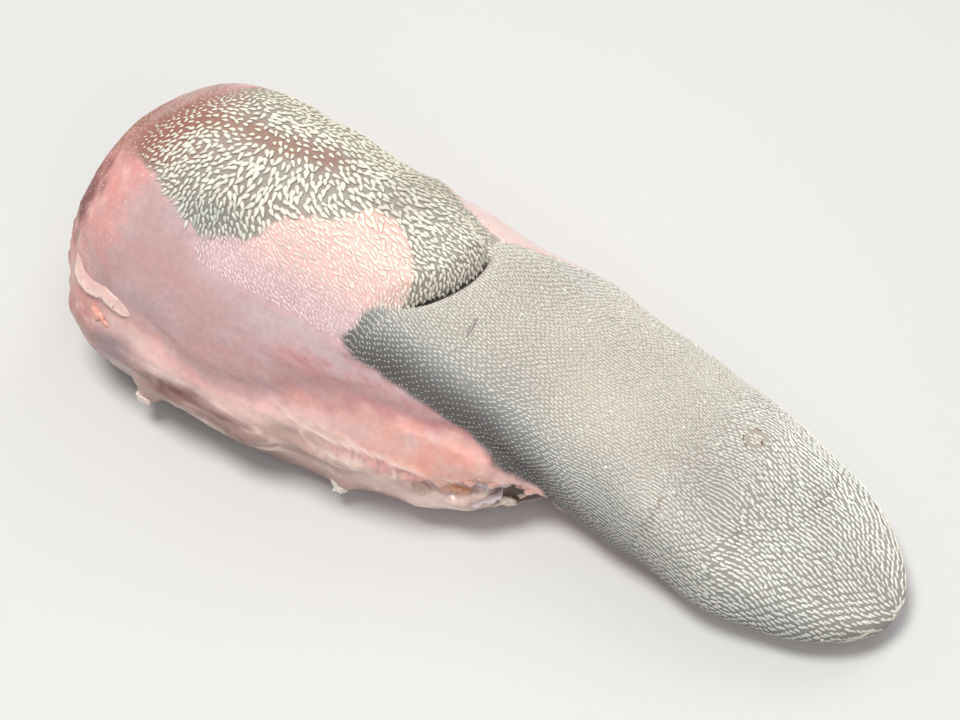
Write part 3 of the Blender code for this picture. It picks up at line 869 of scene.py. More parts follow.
def body_piece(skin, material):
    """The skin, closed at the tip, and the cut across the root."""
    rows, columns = skin.points.shape[:2]
    points, colours, wet = [skin.points.reshape(-1, 3)], [skin.colours.reshape(-1, 3)], [skin.wet.ravel()]
    tip = len(points[0])
    points.append(surface(AT_X[-1], math.pi / 2)[None, :])
    colours.append(skin.colours[-1].mean(0)[None, :])
    wet.append([TIP_WETNESS])
    faces = [grid_faces(rows, columns), fan_faces((rows - 1) * columns, columns, tip, False)]

    rim, centre = skin.points[0], skin.points[0].mean(0)
    i = np.arange(columns)
    j = (i + 1) % columns
    outer = 0
    for k in range(1, CUT_RINGS + 1):
        share = 1 - k / (CUT_RINGS + 1)
        ring = centre + (rim - centre) * share
        ring[:, 0] -= CUT_BULGE * (1 - share**2)
        ring[:, 0] += CUT_ROUGHNESS * rough_noise(ring * CUT_STRETCH, 0.006, 51) * rise(1 - share, 0, 0.15)
        points.append(ring)
        colours.append(cut_colour(ring, share))
        wet.append(np.ones(columns))
        inner = tip + 1 + (k - 1) * columns
        faces.append(np.stack([outer + j, outer + i, inner + i, inner + j], -1))
        outer = inner
    points.append((centre - (CUT_BULGE, 0, 0))[None, :])
    colours.append(MEAT[None, :])
    wet.append([1.0])
    faces.append(fan_faces(outer, columns, outer + columns, True))
    return new_piece(
        "tongue_skin", np.concatenate(points), faces, material, np.concatenate(colours), np.concatenate(wet))


def cut_colour(ring, share):
    """Dark red muscle with pale seams of fat, and a pale rim."""
    grain = rough_noise(ring * GRAIN_STRETCH, 0.006, 52)
    seams = bell(noise(ring * SEAM_STRETCH, 0.012, 53), 0.10)
    return layered(
        np.broadcast_to(MEAT, ring.shape),
        (MEAT_BRIGHT, mottle(0.5, 1, grain)),
        (FAT_CREAM, 0.8 * seams),
        (FAT_PINK, np.full(len(ring), rise(share, *CUT_RIM))),
    )


def teardrop(sides, stations):
    """One papilla: a drop lying along X from its round head at 0 to its point at 1. Closed, facing out.

    stations are (place along, half width, height of the middle)."""
    points, rings = [(0.0, 0.0, 0.0)], []
    for place, half, height in stations:
        turn = np.arange(sides) / sides * 2 * math.pi
        ring = np.stack([np.full(sides, place), half * np.cos(turn), height + half * np.sin(turn)], -1)
        rings.append(len(points))
        points += [tuple(p) for p in ring]
    points.append((1.0, 0.0, stations[-1][2] + 0.1))
    last = len(points) - 1
    faces = []
    for i in range(sides):
        j = (i + 1) % sides
        faces.append((0, rings[0] + j, rings[0] + i))
        faces.append((rings[-1] + i, rings[-1] + j, last))
        for a, b in zip(rings[:-1], rings[1:]):
            faces.append((a + i, a + j, b + j))
            faces.append((a + i, b + j, b + i))
    return np.array(points), np.array(faces)


BIG_DROP = teardrop(6, (
    (0.03, 0.26, 0.0), (0.17, 0.47, 0.08), (0.38, 0.48, 0.18), (0.64, 0.33, 0.30), (0.86, 0.16, 0.40)))
SMALL_DROP = teardrop(5, ((0.14, 0.44, 0.04), (0.62, 0.42, 0.16)))
ROUND_DROP = teardrop(8, ((0.05, 0.25, 0.05), (0.25, 0.45, 0.12), (0.55, 0.48, 0.15), (0.85, 0.30, 0.12)))
# The share of a drop's length that lies behind its place, and the painted shade that darkens it at its foot, up
# to this height.
DROP_BEHIND, FOOT_SHADE, FOOT_HEIGHT = 0.45, 0.72, 0.4


def papillae(name, skin, drop, place, angle, heading, length, width, height, bend, colours, material):
    """Many papillae as one piece. heading is in degrees from the tip's direction towards the right side."""
    origin, ahead, beside, normal = skin.frame_at(place, angle, heading)
    shape, faces = drop
    size = np.stack([length, width, height], -1)
    local = shape[None, :, :] * size[:, None, :]
    local[..., 0] -= DROP_BEHIND * length[:, None]
    local[..., 1] += (bend * width)[:, None] * shape[None, :, 0] ** 2
    points = (
        origin[:, None, :]
        + local[..., 0:1] * ahead[:, None, :]
        + local[..., 1:2] * beside[:, None, :]
        + local[..., 2:3] * normal[:, None, :]
    )
    points = np.clip(points.reshape(-1, 3), cad_box[0], cad_box[1])
    firsts = np.arange(len(place)) * len(shape)
    all_faces = (faces[None] + firsts[:, None, None]).reshape(-1, 3)
    # Painted shade at each papilla's foot.
    shade = FOOT_SHADE + (1 - FOOT_SHADE) * np.clip(shape[:, 2] / FOOT_HEIGHT, 0, 1)
    tints = (colours[:, None, :] * shade[None, :, None]).reshape(-1, 3)
    return new_piece(name, points, [all_faces], material, tints)


def spread_points(seed, skin, place_range, side_range, tries, gap_and_heading, stretch):
    """Random points, as place along and distance round, that keep a varying gap in metres.

    Along the heading the gap is longer by the stretch."""
    rng = np.random.default_rng(seed)
    reach = np.interp(place_range, skin.places, skin.reach)
    place = np.interp(rng.uniform(*reach, tries), skin.reach, skin.places)
    side = rng.uniform(*side_range, tries)
    gap, heading = gap_and_heading(place, side)
    keep = gap > 0
    place, side, gap, heading = place[keep], side[keep], gap[keep], heading[keep]
    origin, ahead = skin.frame_at(place, skin.angles_at(place, side), heading)[:2]
    cell = gap.max() * stretch
    cells = np.floor(origin / cell).astype(int)
    around = [(a, b, c) for a in (-1, 0, 1) for b in (-1, 0, 1) for c in (-1, 0, 1)]
    kept, grid = [], {}
    for i, (u, v, w) in enumerate(cells.tolist()):
        near = [k for a, b, c in around for k in grid.get((u + a, v + b, w + c), ())]
        off = origin[near] - origin[i]
        forward = off @ ahead[i]
        apart = np.sum(off**2, axis=1) - forward**2 * (1 - 1 / stretch**2)
        if np.all(apart > (0.5 * (gap[i] + gap[near])) ** 2):
            kept.append(i)
            grid.setdefault((u, v, w), []).append(i)
    return place[kept], side[kept]


def curl(flat, size, seed):
    """A wandering shift that turns rows of points but keeps them as close together as they were."""
    step = size * 0.02
    ahead = noise(flat + (step, 0, 0), size, seed) - noise(flat - (step, 0, 0), size, seed)
    beside = noise(flat + (0, step, 0), size, seed) - noise(flat - (0, step, 0), size, seed)
    return np.stack([beside, -ahead, 0 * ahead], -1) * size / (2 * step)


def woven_points(seed, place_range, reach, spacing, stretch):
    """Points in wandering rows: place along, distance round, and the row's heading in degrees."""
    rng = np.random.default_rng(seed)
    rows = np.arange(-reach, reach, spacing)
    columns = np.arange(*place_range, spacing * stretch)
    side, place = (g.ravel() for g in np.meshgrid(rows, columns, indexing="ij"))
    shares = np.arange(len(rows)) % 2 * 0.5 + rng.uniform(-ROW_SHIFT, ROW_SHIFT, len(rows))
    offsets = shares * spacing * stretch
    place = place + np.repeat(offsets, len(columns))
    fine = np.linspace(place_range[0], place_range[1] + 0.01, LEAN_STEPS)
    lean = np.tan(np.radians(along(ROW_HEADINGS, fine / MM)))
    aside = np.concatenate([[0], np.cumsum(lean[1:] * np.diff(fine))])
    side = side + np.interp(place, fine, aside - np.interp(STRAIGHT_PLACE, fine, aside))
    flat = np.stack([place, side, 0 * place], -1)
    small = MM * np.stack([np.ones(len(place)), np.interp(place, fine, lean), 0 * place], -1)
    shift = WANDER * curl(flat, WANDER_SIZE, 73)
    turned_row = small + WANDER * curl(flat + small, WANDER_SIZE, 73) - shift
    heading = np.degrees(np.arctan2(turned_row[:, 1], turned_row[:, 0]))
    place, side = (
        v + shift[:, k] + JITTER * spacing * rng.normal(size=len(place)) for k, v in ((0, place), (1, side)))
    return place, side, heading


# How far the rows of the front's fine papillae turn from the tip's direction: place in millimetres, and degrees.
ROW_HEADINGS = ((-36, 28), (0, 24), (12, 6), (30, -8), (90, -8), (120, 3), (150, 13), (175, 16))
WANDER, WANDER_SIZE, JITTER, ROW_SHIFT, LEAN_STEPS, STRAIGHT_PLACE = 0.0011, 0.019, 0.12, 0.12, 600, 0.09


class Places:
    """Scattered places on the skin, with the regions that they are in."""

    def __init__(self, skin, place, side, heading=None):
        self.place = place
        self.heading = 0 * place if heading is None else heading
        self.angle = skin.angles_at(place, side)
        self.points = surface(place, self.angle)
        self.r = regions(self.points, bend_to_arc(place, self.angle), np.degrees(self.angle))

    def only(self, keep):
        """The places that are kept."""
        chosen = object.__new__(Places)
        for name in ("place", "heading", "angle", "points"):
            setattr(chosen, name, getattr(self, name)[keep])
        chosen.r = {name: values[keep] for name, values in self.r.items()}
        return chosen


# The hump's papillae, in millimetres: gap, length, width and height in each region.
HUMP_STRETCH = 1.5
HUMP_DROPS = {
    "main": (1.75, 3.9, 2.1, 1.1), "patch_top": (1.75, 3.8, 1.9, 1.0), "lobe": (1.15, 2.7, 1.2, 0.8),
    "median": (1.95, 2.4, 1.6, 0.9), "rear": (1.5, 3.0, 1.75, 1.0), "left": (1.3, 2.7, 1.4, 0.8),
    "patch": (1.3, 2.9, 1.3, 0.45), "small": (0.95, 2.0, 0.95, 0.35), "crease": (1.25, 2.8, 1.3, 0.75),
    "back": (1.6, 1.7, 1.1, 0.5),
}
# Which way the hump's papillae point: place in millimetres, degrees round, and heading in degrees.
HEADINGS = (
    (-160, 110, 150), (-135, 150, 140), (-124, 130, 142), (-104, 125, 133), (-115, 139, 105), (-102, 143, 60),
    (-86, 138, 40), (-87, 126, 105), (-77, 119, 83), (-68, 115, 71), (-60, 112, 56), (-53, 105, 45),
    (-66, 127, 18), (-50, 122, 8), (-41, 109, 25), (-29, 110, 28), (-25, 122, 20), (-57, 133, 22),
    (-38, 132, 28), (-25, 134, 38), (-67, 140, 25), (-56, 144, 26), (-34, 148, 31), (-23, 88, -6),
    (-15, 98, 20), (-9, 104, 2), (-14, 115, 14), (-10, 88, 10), (-70, 91, 15), (-50, 84, 5), (-95, 80, -15),
    (-35, 82, 10), (-113, 106, 160), (-36, 96, 13), (-62, 80, -3), (-130, 70, -60), (-90, 60, -30),
)
PAPILLA_CREAM, PAPILLA_YELLOW, PAPILLA_GREY = paint(222, 218, 204), paint(216, 212, 194), paint(196, 198, 188)
PAPILLA_PINK, PAPILLA_SMALL, PAPILLA_BACK = paint(247, 226, 208), paint(226, 200, 201), paint(236, 204, 193)
HUMP_TINTS = {
    "main": PAPILLA_CREAM, "rear": PAPILLA_CREAM, "median": PAPILLA_CREAM, "lobe": PAPILLA_GREY,
    "left": PAPILLA_YELLOW, "patch": PAPILLA_PINK, "patch_top": PAPILLA_PINK, "small": PAPILLA_SMALL,
    "crease": PAPILLA_CREAM, "back": PAPILLA_BACK,
}
# Where the rear of the hump ends in millimetres, where its papillae begin and how far they reach on both sides
# in metres, and how many random points are tried.
REAR_MM, HUMP_START, HUMP_SIDES, HUMP_TRIES = (-116, -92), -0.162, (-0.050, 0.082), 70000


def hump_weights(r, place):
    """Which kind each papilla on the hump is: weights that add up to 1."""
    near_crease = rise(place, -0.030, -0.016) * r["hump"]
    high = 1 - rise(r["t"], 108, 120)
    w = {
        "small": r["pink_small"], "patch": r["pink_patch"] * (1 - high), "patch_top": r["pink_patch"] * high,
        "lobe": r["lobe"], "median": r["median"], "left": 0.9 * r["left_half"], "crease": near_crease,
        "back": 0.9 * r["back"],
    }
    used = np.minimum(sum(w.values()), 1)
    w["rear"] = (1 - used) * r["hump"] * (1 - rise(r["mm"], *REAR_MM))
    w["main"] = (1 - used) * r["hump"] * rise(r["mm"], *REAR_MM)
    total = sum(w.values())
    return {name: value / np.maximum(total, 1e-6) for name, value in w.items()}, total


def hump_blend(w, column):
    """A column of the hump's table, blended by the weights and in metres."""
    return sum(w[name] * HUMP_DROPS[name][column] for name in w) * MM


def hump_heading(r):
    """Degrees from the tip's direction towards the right side: a mean of the named headings nearby."""
    ahead, beside = 0.0, 0.0
    for mm, t, heading in HEADINGS:
        weight = 1 / ((r["mm"] - mm) ** 2 + (0.9 * (r["t"] - t)) ** 2 + 6) ** 1.5
        ahead = ahead + weight * math.cos(math.radians(heading))
        beside = beside + weight * math.sin(math.radians(heading))
    return np.degrees(np.arctan2(beside, ahead))


def hump_papillae(skin, material):
    """The large papillae on the hump, and the small ones on the pink skin round it."""
    rng = np.random.default_rng(61)

    def gap_and_heading(place, side):
        found = Places(skin, place, side)
        w, total = hump_weights(found.r, place)
        sparse = 1 + 0.9 * found.r["back"] * rise(found.r["t"], 110, 135)
        return np.where(total > 0.4, hump_blend(w, 0) * sparse, 0), hump_heading(found.r)

    ends = (HUMP_START, HUMP_FRONT + 0.0001)
    place, side = spread_points(62, skin, ends, HUMP_SIDES, HUMP_TRIES, gap_and_heading, HUMP_STRETCH)
    found = Places(skin, place, side)
    w, _ = hump_weights(found.r, place)
    count = len(place)
    heading = hump_heading(found.r) + rng.normal(0, 12, count)
    vary = rng.normal(1, 0.13, (3, count)).clip(0.7, 1.35)
    shrunk = 0.45 + 0.55 * rise(found.r["mm"] - along(HUMP_BACK_EDGE, found.r["t"]), 0, 24)
    shrunk = shrunk * (0.6 + 0.4 * rise(found.r["t"] - along(HUMP_LEFT_EDGE, found.r["mm"]), 2, 14))
    length, width, height = (hump_blend(w, k + 1) * vary[k] * shrunk for k in range(3))
    bend = rng.normal(0, 0.35, count)
    tints = sum(w[kind][:, None] * colour for kind, colour in HUMP_TINTS.items())
    # Painted shade on the papillae at the hump's left front.
    shaded = 1 - 0.22 * bell(found.r["mm"] + 36, 8) * (1 - rise(found.r["t"], 98, 110))
    tints = tints * shaded[:, None] * rng.normal(1, 0.06, (count, 1)).clip(0.85, 1.15)
    return papillae(
        "hump_papillae", skin, BIG_DROP, place, found.angle, heading, length, width, height, bend, tints,
        material)


# The front's fine papillae: the gap between their rows in millimetres, and how much wider they are apart
# along a row, up to each place in millimetres.
FRONT_BANDS = ((88, 1.14, 1.5), (112, 1.36, 1.5), (400, 1.66, 1.5))
FRONT_PAPILLA, TIP_PAPILLA, DARK_PAPILLA = paint(218, 214, 204), paint(230, 229, 222), paint(164, 162, 160)
# Where the front's rows lie in metres, the bare strip at the crease, and the bare ring of the scar.
FRONT_ENDS, FRONT_REACH, CREASE_GAP, CREASE_GAP_T, SCAR_GAP = (-0.040, 0.175), 0.085, 0.0012, (80, 133), 0.5
TIP_LOSS = (0.04, 0.07, 0.12)


def front_places(skin):
    """Where the front's fine papillae stand, and the gap between rows at each."""
    last, found = -100, []
    for count, (until, spacing, stretch) in enumerate(FRONT_BANDS):
        rows = Places(skin, *woven_points(72 + count, FRONT_ENDS, FRONT_REACH, spacing * MM, stretch))
        where = rows.r["mm"] + 6 * noise(rows.points, 0.012, 74)
        across = (rows.r["t"] > CREASE_GAP_T[0]) & (rows.r["t"] < CREASE_GAP_T[1])
        at_crease = (rows.place < HUMP_FRONT + CREASE_GAP) & across
        off_scar = np.abs(from_scar(rows.r["mm"], rows.r["t"]) - SCAR_RADIUS) > SCAR_GAP
        keep = (where >= last) & (where < until) & (rows.r["front"] > 0.5) & (rows.r["blade_under"] < 0.4)
        found.append((rows.only(keep & ~at_crease & off_scar), spacing * MM, spacing * stretch * MM))
        last = until
    return found


def front_papillae(skin, material):
    """The fine papillae of the front, in three sizes."""
    rng = np.random.default_rng(71)
    names = ("front_papillae", "middle_papillae", "tip_papillae")
    for name, (found, spacing, step) in zip(names, front_places(skin)):
        mm, t, count = found.r["mm"], found.r["t"], len(found.place)
        dark = darkness(mm, t)
        length = step * (1.36 - 0.86 * dark) * rng.normal(1, 0.08, count).clip(0.75, 1.3)
        width = spacing * (0.72 - 0.24 * dark) * rng.normal(1, 0.08, count).clip(0.75, 1.3)
        height = spacing * (0.24 + 0.06 * rise(mm, 60, 120)) * rng.normal(1, 0.1, count).clip(0.75, 1.3)
        heading = found.heading + rng.normal(0, 8, count)
        tints = over(TIP_PAPILLA, rise(mm, 80, 130), np.broadcast_to(FRONT_PAPILLA, (count, 3)))
        # The same painted light and shade as the front skin.
        tints = over(DARK_PAPILLA, dark, tints * painted_front_shading(mm, t)[:, None])
        tints = tints * rng.normal(1, 0.05, (count, 1)).clip(0.85, 1.12)
        tints = tints * (1 - rise(mm, 138, 168)[:, None] * TIP_LOSS)
        papillae(
            name, skin, SMALL_DROP, found.place, found.angle, heading, length, width, height, np.zeros(count),
            tints, material)


# Marks on the front skin: place in millimetres, degrees round, length and width in millimetres, and heading.
# The first five are the scar's broken ring, and the last one is a long scratch near the crease.
STROKES = (
    (97, 77.5, 3.4, 0.55, 62), (99, 79.5, 2.2, 0.5, 20), (103, 72.5, 3.2, 0.9, 52),
    (99.5, 67.5, 3.0, 0.45, -10), (106, 67.5, 1.6, 0.8, 60), (5, 125, 9.0, 1.5, 88),
)
STROKE_BROWN, SCRATCH_GREY, STROKE_HEIGHT = paint(112, 84, 72), paint(158, 146, 141), 0.00045


def strokes(skin, material):
    """Thin flat scabs and a scratch that lie on the front skin."""
    mm, t, length, width, heading = np.array(STROKES, float).T
    angle = np.radians(t)
    last = np.arange(len(mm)) == len(mm) - 1
    tints = np.where(last[:, None], SCRATCH_GREY, STROKE_BROWN)
    papillae(
        "marks", skin, BIG_DROP, place_at(mm, angle), angle, heading, length * MM, width * MM,
        np.full(len(mm), STROKE_HEIGHT), np.where(last, 0, 0.5), tints, material)


# The round papillae: where they lie along the tongue and beside its middle, how many random points are tried,
# the gap between them, and their sizes in millimetres.
ROUND_ENDS, ROUND_SIDES, ROUND_TRIES = (0.0, 0.165), (-0.036, 0.030), 240
ROUND_GAP, ROUND_SIZES = 0.014, (1.0, 1.4)
ROUND_CREAM = paint(240, 232, 218)


def round_papillae(skin, material):
    """The few larger round ones among the front's fine ones."""
    rng = np.random.default_rng(81)

    def gap_and_heading(place, side):
        return np.full(len(place), ROUND_GAP), 0 * place

    place, side = spread_points(82, skin, ROUND_ENDS, ROUND_SIDES, ROUND_TRIES, gap_and_heading, 1.0)
    found = Places(skin, place, side)
    found = found.only(found.r["front"] > 0.9)
    count = len(found.place)
    size = rng.uniform(*ROUND_SIZES, count) * MM
    tints = ROUND_CREAM * rng.normal(1, 0.04, (count, 1))
    heading = rng.uniform(0, 360, count)
    return papillae(
        "round_papillae", skin, ROUND_DROP, found.place, found.angle, heading, size, size, 0.8 * size,
        np.zeros(count), tints, material)


# Torn pieces on the fat, as lines of place along the tongue in millimetres and degrees round, then how far each
# reaches from its line, its thickness, how far its edge lifts, how ragged that is, and its colours: inside, and
# edge.
FLAPS = (
    (((-148, 184), (-141, 185), (-134, 184), (-126, 182), (-119, 183), (-112, 186)), 5.0, 0.6, 1.6, 0.3,
     paint(222, 180, 174), paint(240, 210, 200)),
    (((11, 190), (13, 190), (17, 191), (20, 189), (24, 185), (27, 182), (31, 184), (36, 187), (40, 190),
      (43, 193)), 2.8, 0.5, 1.1, 1.0, paint(218, 160, 148), paint(238, 192, 180)),
    (((25, 188), (29, 187), (33, 188), (36, 190)), 3.0, 0.3, 1.0, 1.0,
     paint(176, 150, 156), paint(224, 212, 220)),
    (((25, 200), (28, 197), (31, 194), (34, 191)), 2.6, 0.3, 1.2, 1.0,
     paint(150, 122, 124), paint(216, 204, 208)),
    (((30, 202), (33, 198), (37, 196)), 2.4, 0.3, 1.0, 1.2, paint(120, 90, 80), paint(206, 190, 182)),
    (((158, 186), (161, 184), (164, 178), (166, 166), (168, 152)), 1.0, 0.35, 0.2, 1.0,
     paint(190, 182, 168), paint(216, 208, 194)),
)
# Lumps of fat: place in millimetres, degrees round, length, width and height in millimetres, heading, colour.
FAT_LUMPS = (
    (-124, 191, 8.0, 3.8, 1.5, 8, paint(222, 160, 142)),
    (21, 196, 9.0, 4.0, 1.3, 0, paint(226, 164, 130)), (15, 199, 8.0, 3.6, 1.1, 5, paint(218, 170, 152)),
    (35, 200, 8.0, 4.2, 1.5, -8, paint(214, 198, 182)), (28, 205, 8.0, 4.0, 1.2, 0, paint(204, 182, 168)),
    (8, 203, 9.0, 3.6, 0.9, 0, paint(206, 176, 164)), (40, 197, 5.0, 2.8, 1.2, -15, paint(190, 168, 152)),
    (-100.5, 222, 6.5, 4.4, 2.2, 20, paint(226, 206, 198)),
    (-22, 224, 6.0, 4.4, 2.2, 30, paint(228, 218, 210)),
)
FLAP_STEPS, FLAP_END, LINE_STEP, LINE_MM_A_DEGREE, PLACE_STEPS, PLACE_STEP = 7, 0.16, 0.0004, 0.65, 12, 0.7
LUMP_ROWS, LUMP_COLUMNS, LUMP_ROUGHNESS, LUMP_SUNK = 21, 26, 0.9, 0.15


def place_at(mm, angle):
    """The place along the tongue whose skin lies this many millimetres along, at this angle."""
    place = mm * MM
    for _ in range(PLACE_STEPS):
        place = place + PLACE_STEP * (mm * MM - bend_to_arc(place, angle))
    return place


def closed_shell(grid):
    """A closed shell from rings of points, its ends drawn together."""
    rows, columns = grid.shape[:2]
    points = np.concatenate([grid.reshape(-1, 3), grid[0].mean(0)[None], grid[-1].mean(0)[None]])
    first, last = rows * columns, rows * columns + 1
    faces = [
        grid_faces(rows, columns), fan_faces(0, columns, first, True),
        fan_faces((rows - 1) * columns, columns, last, False),
    ]
    return np.clip(points, cad_box[0], cad_box[1]), faces


def flap(skin, line, reach, thick, lift, rough, inner, edge, seed):
    """A torn flap of skin: one long edge held along the line, the other free and ragged."""
    mm, t = np.array(line, float).T
    run = np.concatenate([[0], np.cumsum(np.hypot(np.diff(mm), LINE_MM_A_DEGREE * np.diff(t)))]) * MM
    at = np.arange(0, run[-1], LINE_STEP)
    mm, angle = np.interp(at, run, mm), np.radians(np.interp(at, run, t))
    origin, _, _, normal = skin.frame_at(place_at(mm, angle), angle, 0 * mm)
    ahead = np.gradient(origin, axis=0)
    down = np.cross(ahead, normal)
    down = down / np.linalg.norm(down, axis=1, keepdims=True)
    share = np.linspace(0, 1, len(at))
    ends = np.clip(np.minimum(share, 1 - share) / FLAP_END, 0.03, 1) ** 0.6
    ragged = 1 + rough * (0.5 * noise(origin, 0.0034, seed) + 0.3 * noise(origin, 0.0013, seed + 1))
    width = reach * MM * ends * ragged
    raised = lift * MM * ends * (1 + 0.6 * rough * noise(origin, 0.004, seed + 2))
    across = np.linspace(0, 1, FLAP_STEPS)
    centre = origin[:, None] + down[:, None] * (width[:, None] * (across - 0.15))[..., None]
    centre = centre + normal[:, None] * (raised[:, None] * (across**0.8 - 0.1))[..., None]
    half = normal[:, None] * (thick * MM * ends[:, None] * (1 - 0.8 * across**2) * 0.5)[..., None]
    points, faces = closed_shell(np.concatenate([centre + half, (centre - half)[:, ::-1]], axis=1))
    toward_edge = np.tile(np.concatenate([across, across[::-1]]), len(at))
    colours = over(edge, np.append(toward_edge, [0, 0]) ** 1.5, np.broadcast_to(inner, points.shape))
    return points, faces, colours * (1 + 0.1 * noise(points, 0.002, seed + 3))[:, None]


def fat_lump(skin, mm, t, length, width, height, heading, colour, seed):
    """An uneven lump of fat, half sunk in the skin."""
    angle = np.radians(np.array([float(t)]))
    place = place_at(np.array([float(mm)]), angle)
    origin, ahead, beside, normal = skin.frame_at(place, angle, np.array([heading]))
    up = np.linspace(-1, 1, LUMP_ROWS + 2)[1:-1, None] * math.pi / 2
    round_it = np.arange(LUMP_COLUMNS)[None] / LUMP_COLUMNS * 2 * math.pi
    beside_share, out_share = np.cos(up) * np.cos(round_it), np.cos(up) * np.sin(round_it)
    local = np.stack(np.broadcast_arrays(
        np.sin(up) * length / 2, beside_share * width / 2, out_share * height), -1)
    local = local * (1 + LUMP_ROUGHNESS * rough_noise(local * MM + origin, 0.0030, seed))[..., None] * MM
    out = local[..., 2:3] - LUMP_SUNK * height * MM
    grid = origin + local[..., 0:1] * ahead + local[..., 1:2] * beside + out * normal
    points, faces = closed_shell(grid)
    colours = np.broadcast_to(colour, points.shape) * (1 + 0.14 * noise(points, 0.0015, seed + 3))[:, None]
    return points, faces, colours


def joined(name, parts, material):
    """One wet piece from several shells."""
    points, faces, colours, count = [], [], [], 0
    for part_points, part_faces, part_colours in parts:
        faces += [block + count for block in part_faces]
        points.append(part_points)
        colours.append(part_colours)
        count += len(part_points)
    return new_piece(name, np.concatenate(points), faces, material, np.concatenate(colours), np.ones(count))


def torn_pieces(skin, material):
    """The torn flaps and the lumps of fat, as one piece each."""
    flaps = [flap(skin, *values, 100 + 10 * i) for i, values in enumerate(FLAPS)]
    lumps = [fat_lump(skin, *values, 200 + 10 * i) for i, values in enumerate(FAT_LUMPS)]
    joined("torn_flaps", flaps, material)
    joined("fat_lumps", lumps, material)


def set_inputs(made, **values):
    """Sets a node's inputs, which are named here with underscores for spaces."""
    for name, value in values.items():
        made.inputs[name.replace("_", " ")].default_value = value
    return made


def node(tree, kind, **values):
    """A new node with its inputs set."""
    return set_inputs(tree.nodes.new(kind), **values)


def attribute(tree, name):
    """A node that reads one of the mesh's attributes."""
    made = tree.nodes.new("ShaderNodeAttribute")
    made.attribute_name = name
    return made


def noise_node(tree, scale, detail):
    """A pattern of noise fixed to the object."""
    place = tree.nodes.new("ShaderNodeTexCoord")
    made = node(tree, "ShaderNodeTexNoise", Scale=scale, Detail=detail)
    tree.links.new(place.outputs["Object"], made.inputs["Vector"])
    return made.outputs["Fac"]


def ranged(tree, value, **limits):
    """The value carried over to other limits."""
    made = node(tree, "ShaderNodeMapRange", **limits)
    tree.links.new(value, made.inputs["Value"])
    return made.outputs["Result"]


def varied(tree, scale, detail, low, high):
    """A pattern of noise that varies from low to high."""
    return ranged(tree, noise_node(tree, scale, detail), From_Min=0.3, From_Max=0.7, To_Min=low, To_Max=high)


def multiply(tree, first, second):
    """The product of two outputs."""
    made = tree.nodes.new("ShaderNodeMath")
    made.operation = "MULTIPLY"
    tree.links.new(first, made.inputs[0])
    tree.links.new(second, made.inputs[1])
    return made.outputs["Value"]


def tinted(tree, scale, low, high):
    """The tint attribute, varied a little from place to place."""
    vary = varied(tree, scale, 4.0, low, high)
    made = tree.nodes.new("ShaderNodeVectorMath")
    made.operation = "SCALE"
    tree.links.new(attribute(tree, "tint").outputs["Color"], made.inputs[0])
    tree.links.new(vary, made.inputs["Scale"])
    return made.outputs["Vector"]


def bump(tree, scale, detail, distance, strength):
    """Fine bumps in a surface."""
    made = node(tree, "ShaderNodeBump", Distance=distance, Strength=strength)
    tree.links.new(noise_node(tree, scale, detail), made.inputs["Height"])
    return made.outputs["Normal"]


def new_material(name):
    """An empty material, with its node tree and shader."""
    material = bpy.data.materials.new(name)
    material.use_nodes = True
    return material, material.node_tree, material.node_tree.nodes["Principled BSDF"]


def skin_material():
    """Skin and flesh in their own tints, smoother and shinier where they are wet."""
    material, tree, shader = new_material("tongue_skin")
    wet = attribute(tree, "wet").outputs["Fac"]
    roughness = ranged(tree, wet, To_Min=0.60, To_Max=0.38)
    patches = varied(tree, scale=160.0, detail=3.0, low=0.8, high=1.25)
    tree.links.new(tinted(tree, scale=420.0, low=0.93, high=1.07), shader.inputs["Base Color"])
    tree.links.new(multiply(tree, roughness, patches), shader.inputs["Roughness"])
    bumps = bump(tree, scale=900.0, detail=5.0, distance=0.0004, strength=0.35)
    tree.links.new(bumps, shader.inputs["Normal"])
    tree.links.new(ranged(tree, wet, To_Max=0.5), shader.inputs["Coat Weight"])
    set_inputs(
        shader, Coat_Roughness=0.12, Subsurface_Weight=0.12, Subsurface_Radius=(1.0, 0.4, 0.3),
        Subsurface_Scale=0.003)
    return material


def papilla_material():
    """Horny papillae in their own tints."""
    material, tree, shader = new_material("papillae")
    tree.links.new(tinted(tree, scale=900.0, low=0.92, high=1.08), shader.inputs["Base Color"])
    tree.links.new(varied(tree, scale=700.0, detail=2.0, low=0.36, high=0.56), shader.inputs["Roughness"])
    bumps = bump(tree, scale=2500.0, detail=3.0, distance=0.0001, strength=0.3)
    tree.links.new(bumps, shader.inputs["Normal"])
    set_inputs(shader, Subsurface_Weight=0.1, Subsurface_Radius=(1.0, 0.8, 0.6), Subsurface_Scale=0.001)
    return material


FLOOR_HALF, FLOOR_HEIGHT = 3.0, -0.0004


def floor():
    """A light grey floor under the tongue."""
    corners = [(x * FLOOR_HALF, y * FLOOR_HALF, 0) for x, y in ((-1, -1), (1, -1), (1, 1), (-1, 1))]
    mesh = bpy.data.meshes.new("floor")
    mesh.from_pydata(corners, [], [(0, 1, 2, 3)])
    made = bpy.data.objects.new("floor", mesh)
    made.location.z = FLOOR_HEIGHT
    bpy.context.scene.collection.objects.link(made)
    material, _, shader = new_material("floor")
    set_inputs(shader, Base_Color=(0.62, 0.62, 0.61, 1.0), Roughness=0.8)
    mesh.materials.append(material)


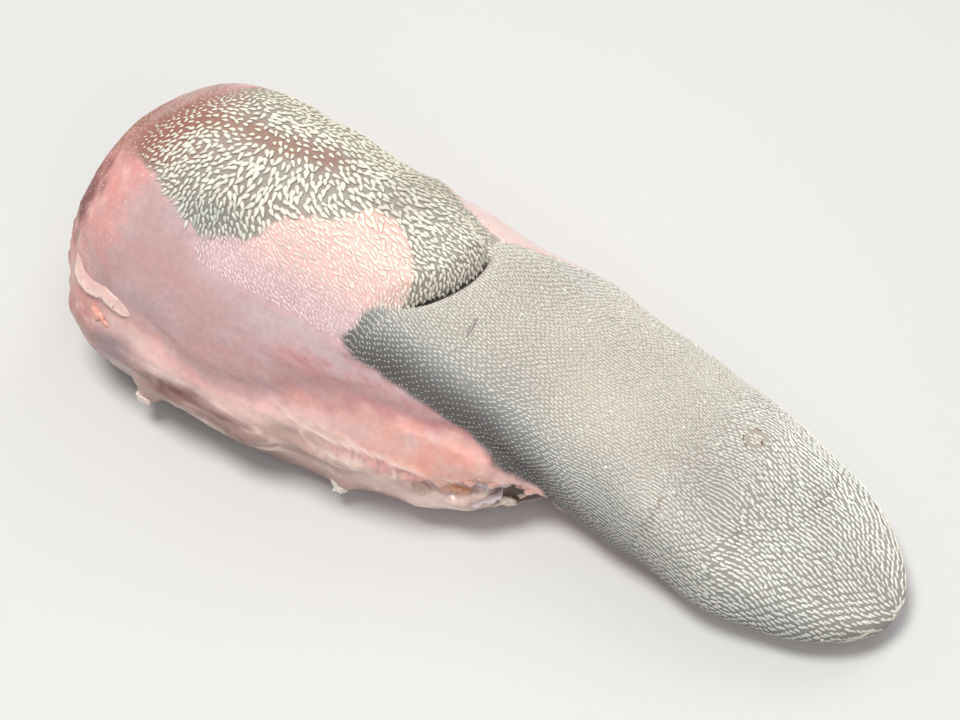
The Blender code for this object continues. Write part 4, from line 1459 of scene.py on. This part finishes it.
# Each lamp's name, place, size, watts and colour. They all shine at one point.
LAMPS = (
    ("key", (-0.25, -0.20, 1.35), 0.55, 16.0, (1.0, 0.98, 0.95)),
    ("fill", (0.95, -0.55, 0.8), 0.9, 4.0, (0.96, 0.98, 1.0)),
    ("back", (0.1, 1.1, 0.9), 0.9, 4.0, (1.0, 1.0, 1.0)),
)
LIT_POINT, WORLD_WHITE, WORLD_STRENGTH = (0.0, 0.0, 0.04), (1.0, 1.0, 1.0, 1.0), 0.42


def lights():
    """Three soft lamps and an even white world."""
    for name, place, size, watts, colour in LAMPS:
        light = bpy.data.lights.new(name, "AREA")
        light.shape, light.size, light.energy, light.color = "DISK", size, watts, colour
        made = bpy.data.objects.new(name, light)
        made.location = place
        made.rotation_euler = (Vector(LIT_POINT) - Vector(place)).to_track_quat("-Z", "Y").to_euler()
        bpy.context.scene.collection.objects.link(made)
    world = bpy.data.worlds.new("studio")
    world.use_nodes = True
    set_inputs(world.node_tree.nodes["Background"], Color=WORLD_WHITE, Strength=WORLD_STRENGTH)
    bpy.context.scene.world = world


# The photo's camera: degrees round and up, distance, lens and sensor in millimetres, and what it looks at.
CAMERA_ROUND, CAMERA_UP, CAMERA_DISTANCE, CAMERA_LENS, SENSOR_WIDTH = 34.0, 54.0, 0.705, 72.0, 36.0
CAMERA_TARGET = (-0.0025, 0.0072, 0.038)


def camera():
    """The photo's camera."""
    data = bpy.data.cameras.new("camera")
    data.lens, data.sensor_width = CAMERA_LENS, SENSOR_WIDTH
    made = bpy.data.objects.new("camera", data)
    a, e = math.radians(CAMERA_ROUND), math.radians(CAMERA_UP)
    back = Vector((math.sin(a) * math.cos(e), -math.cos(a) * math.cos(e), math.sin(e)))
    made.location = Vector(CAMERA_TARGET) + back * CAMERA_DISTANCE
    made.rotation_euler = (-back).to_track_quat("-Z", "Y").to_euler()
    bpy.context.scene.collection.objects.link(made)
    bpy.context.scene.camera = made


def main():
    """Builds the whole scene."""
    skin = Skin()
    dressed = skin_material()
    drops = papilla_material()
    body = body_piece(skin, dressed)
    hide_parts("beef_tongue")
    hump_papillae(skin, drops)
    front_papillae(skin, drops)
    strokes(skin, drops)
    round_papillae(skin, drops)
    torn_pieces(skin, dressed)
    floor()
    lights()
    camera()
    bpy.context.scene.view_settings.view_transform = "Standard"


main()
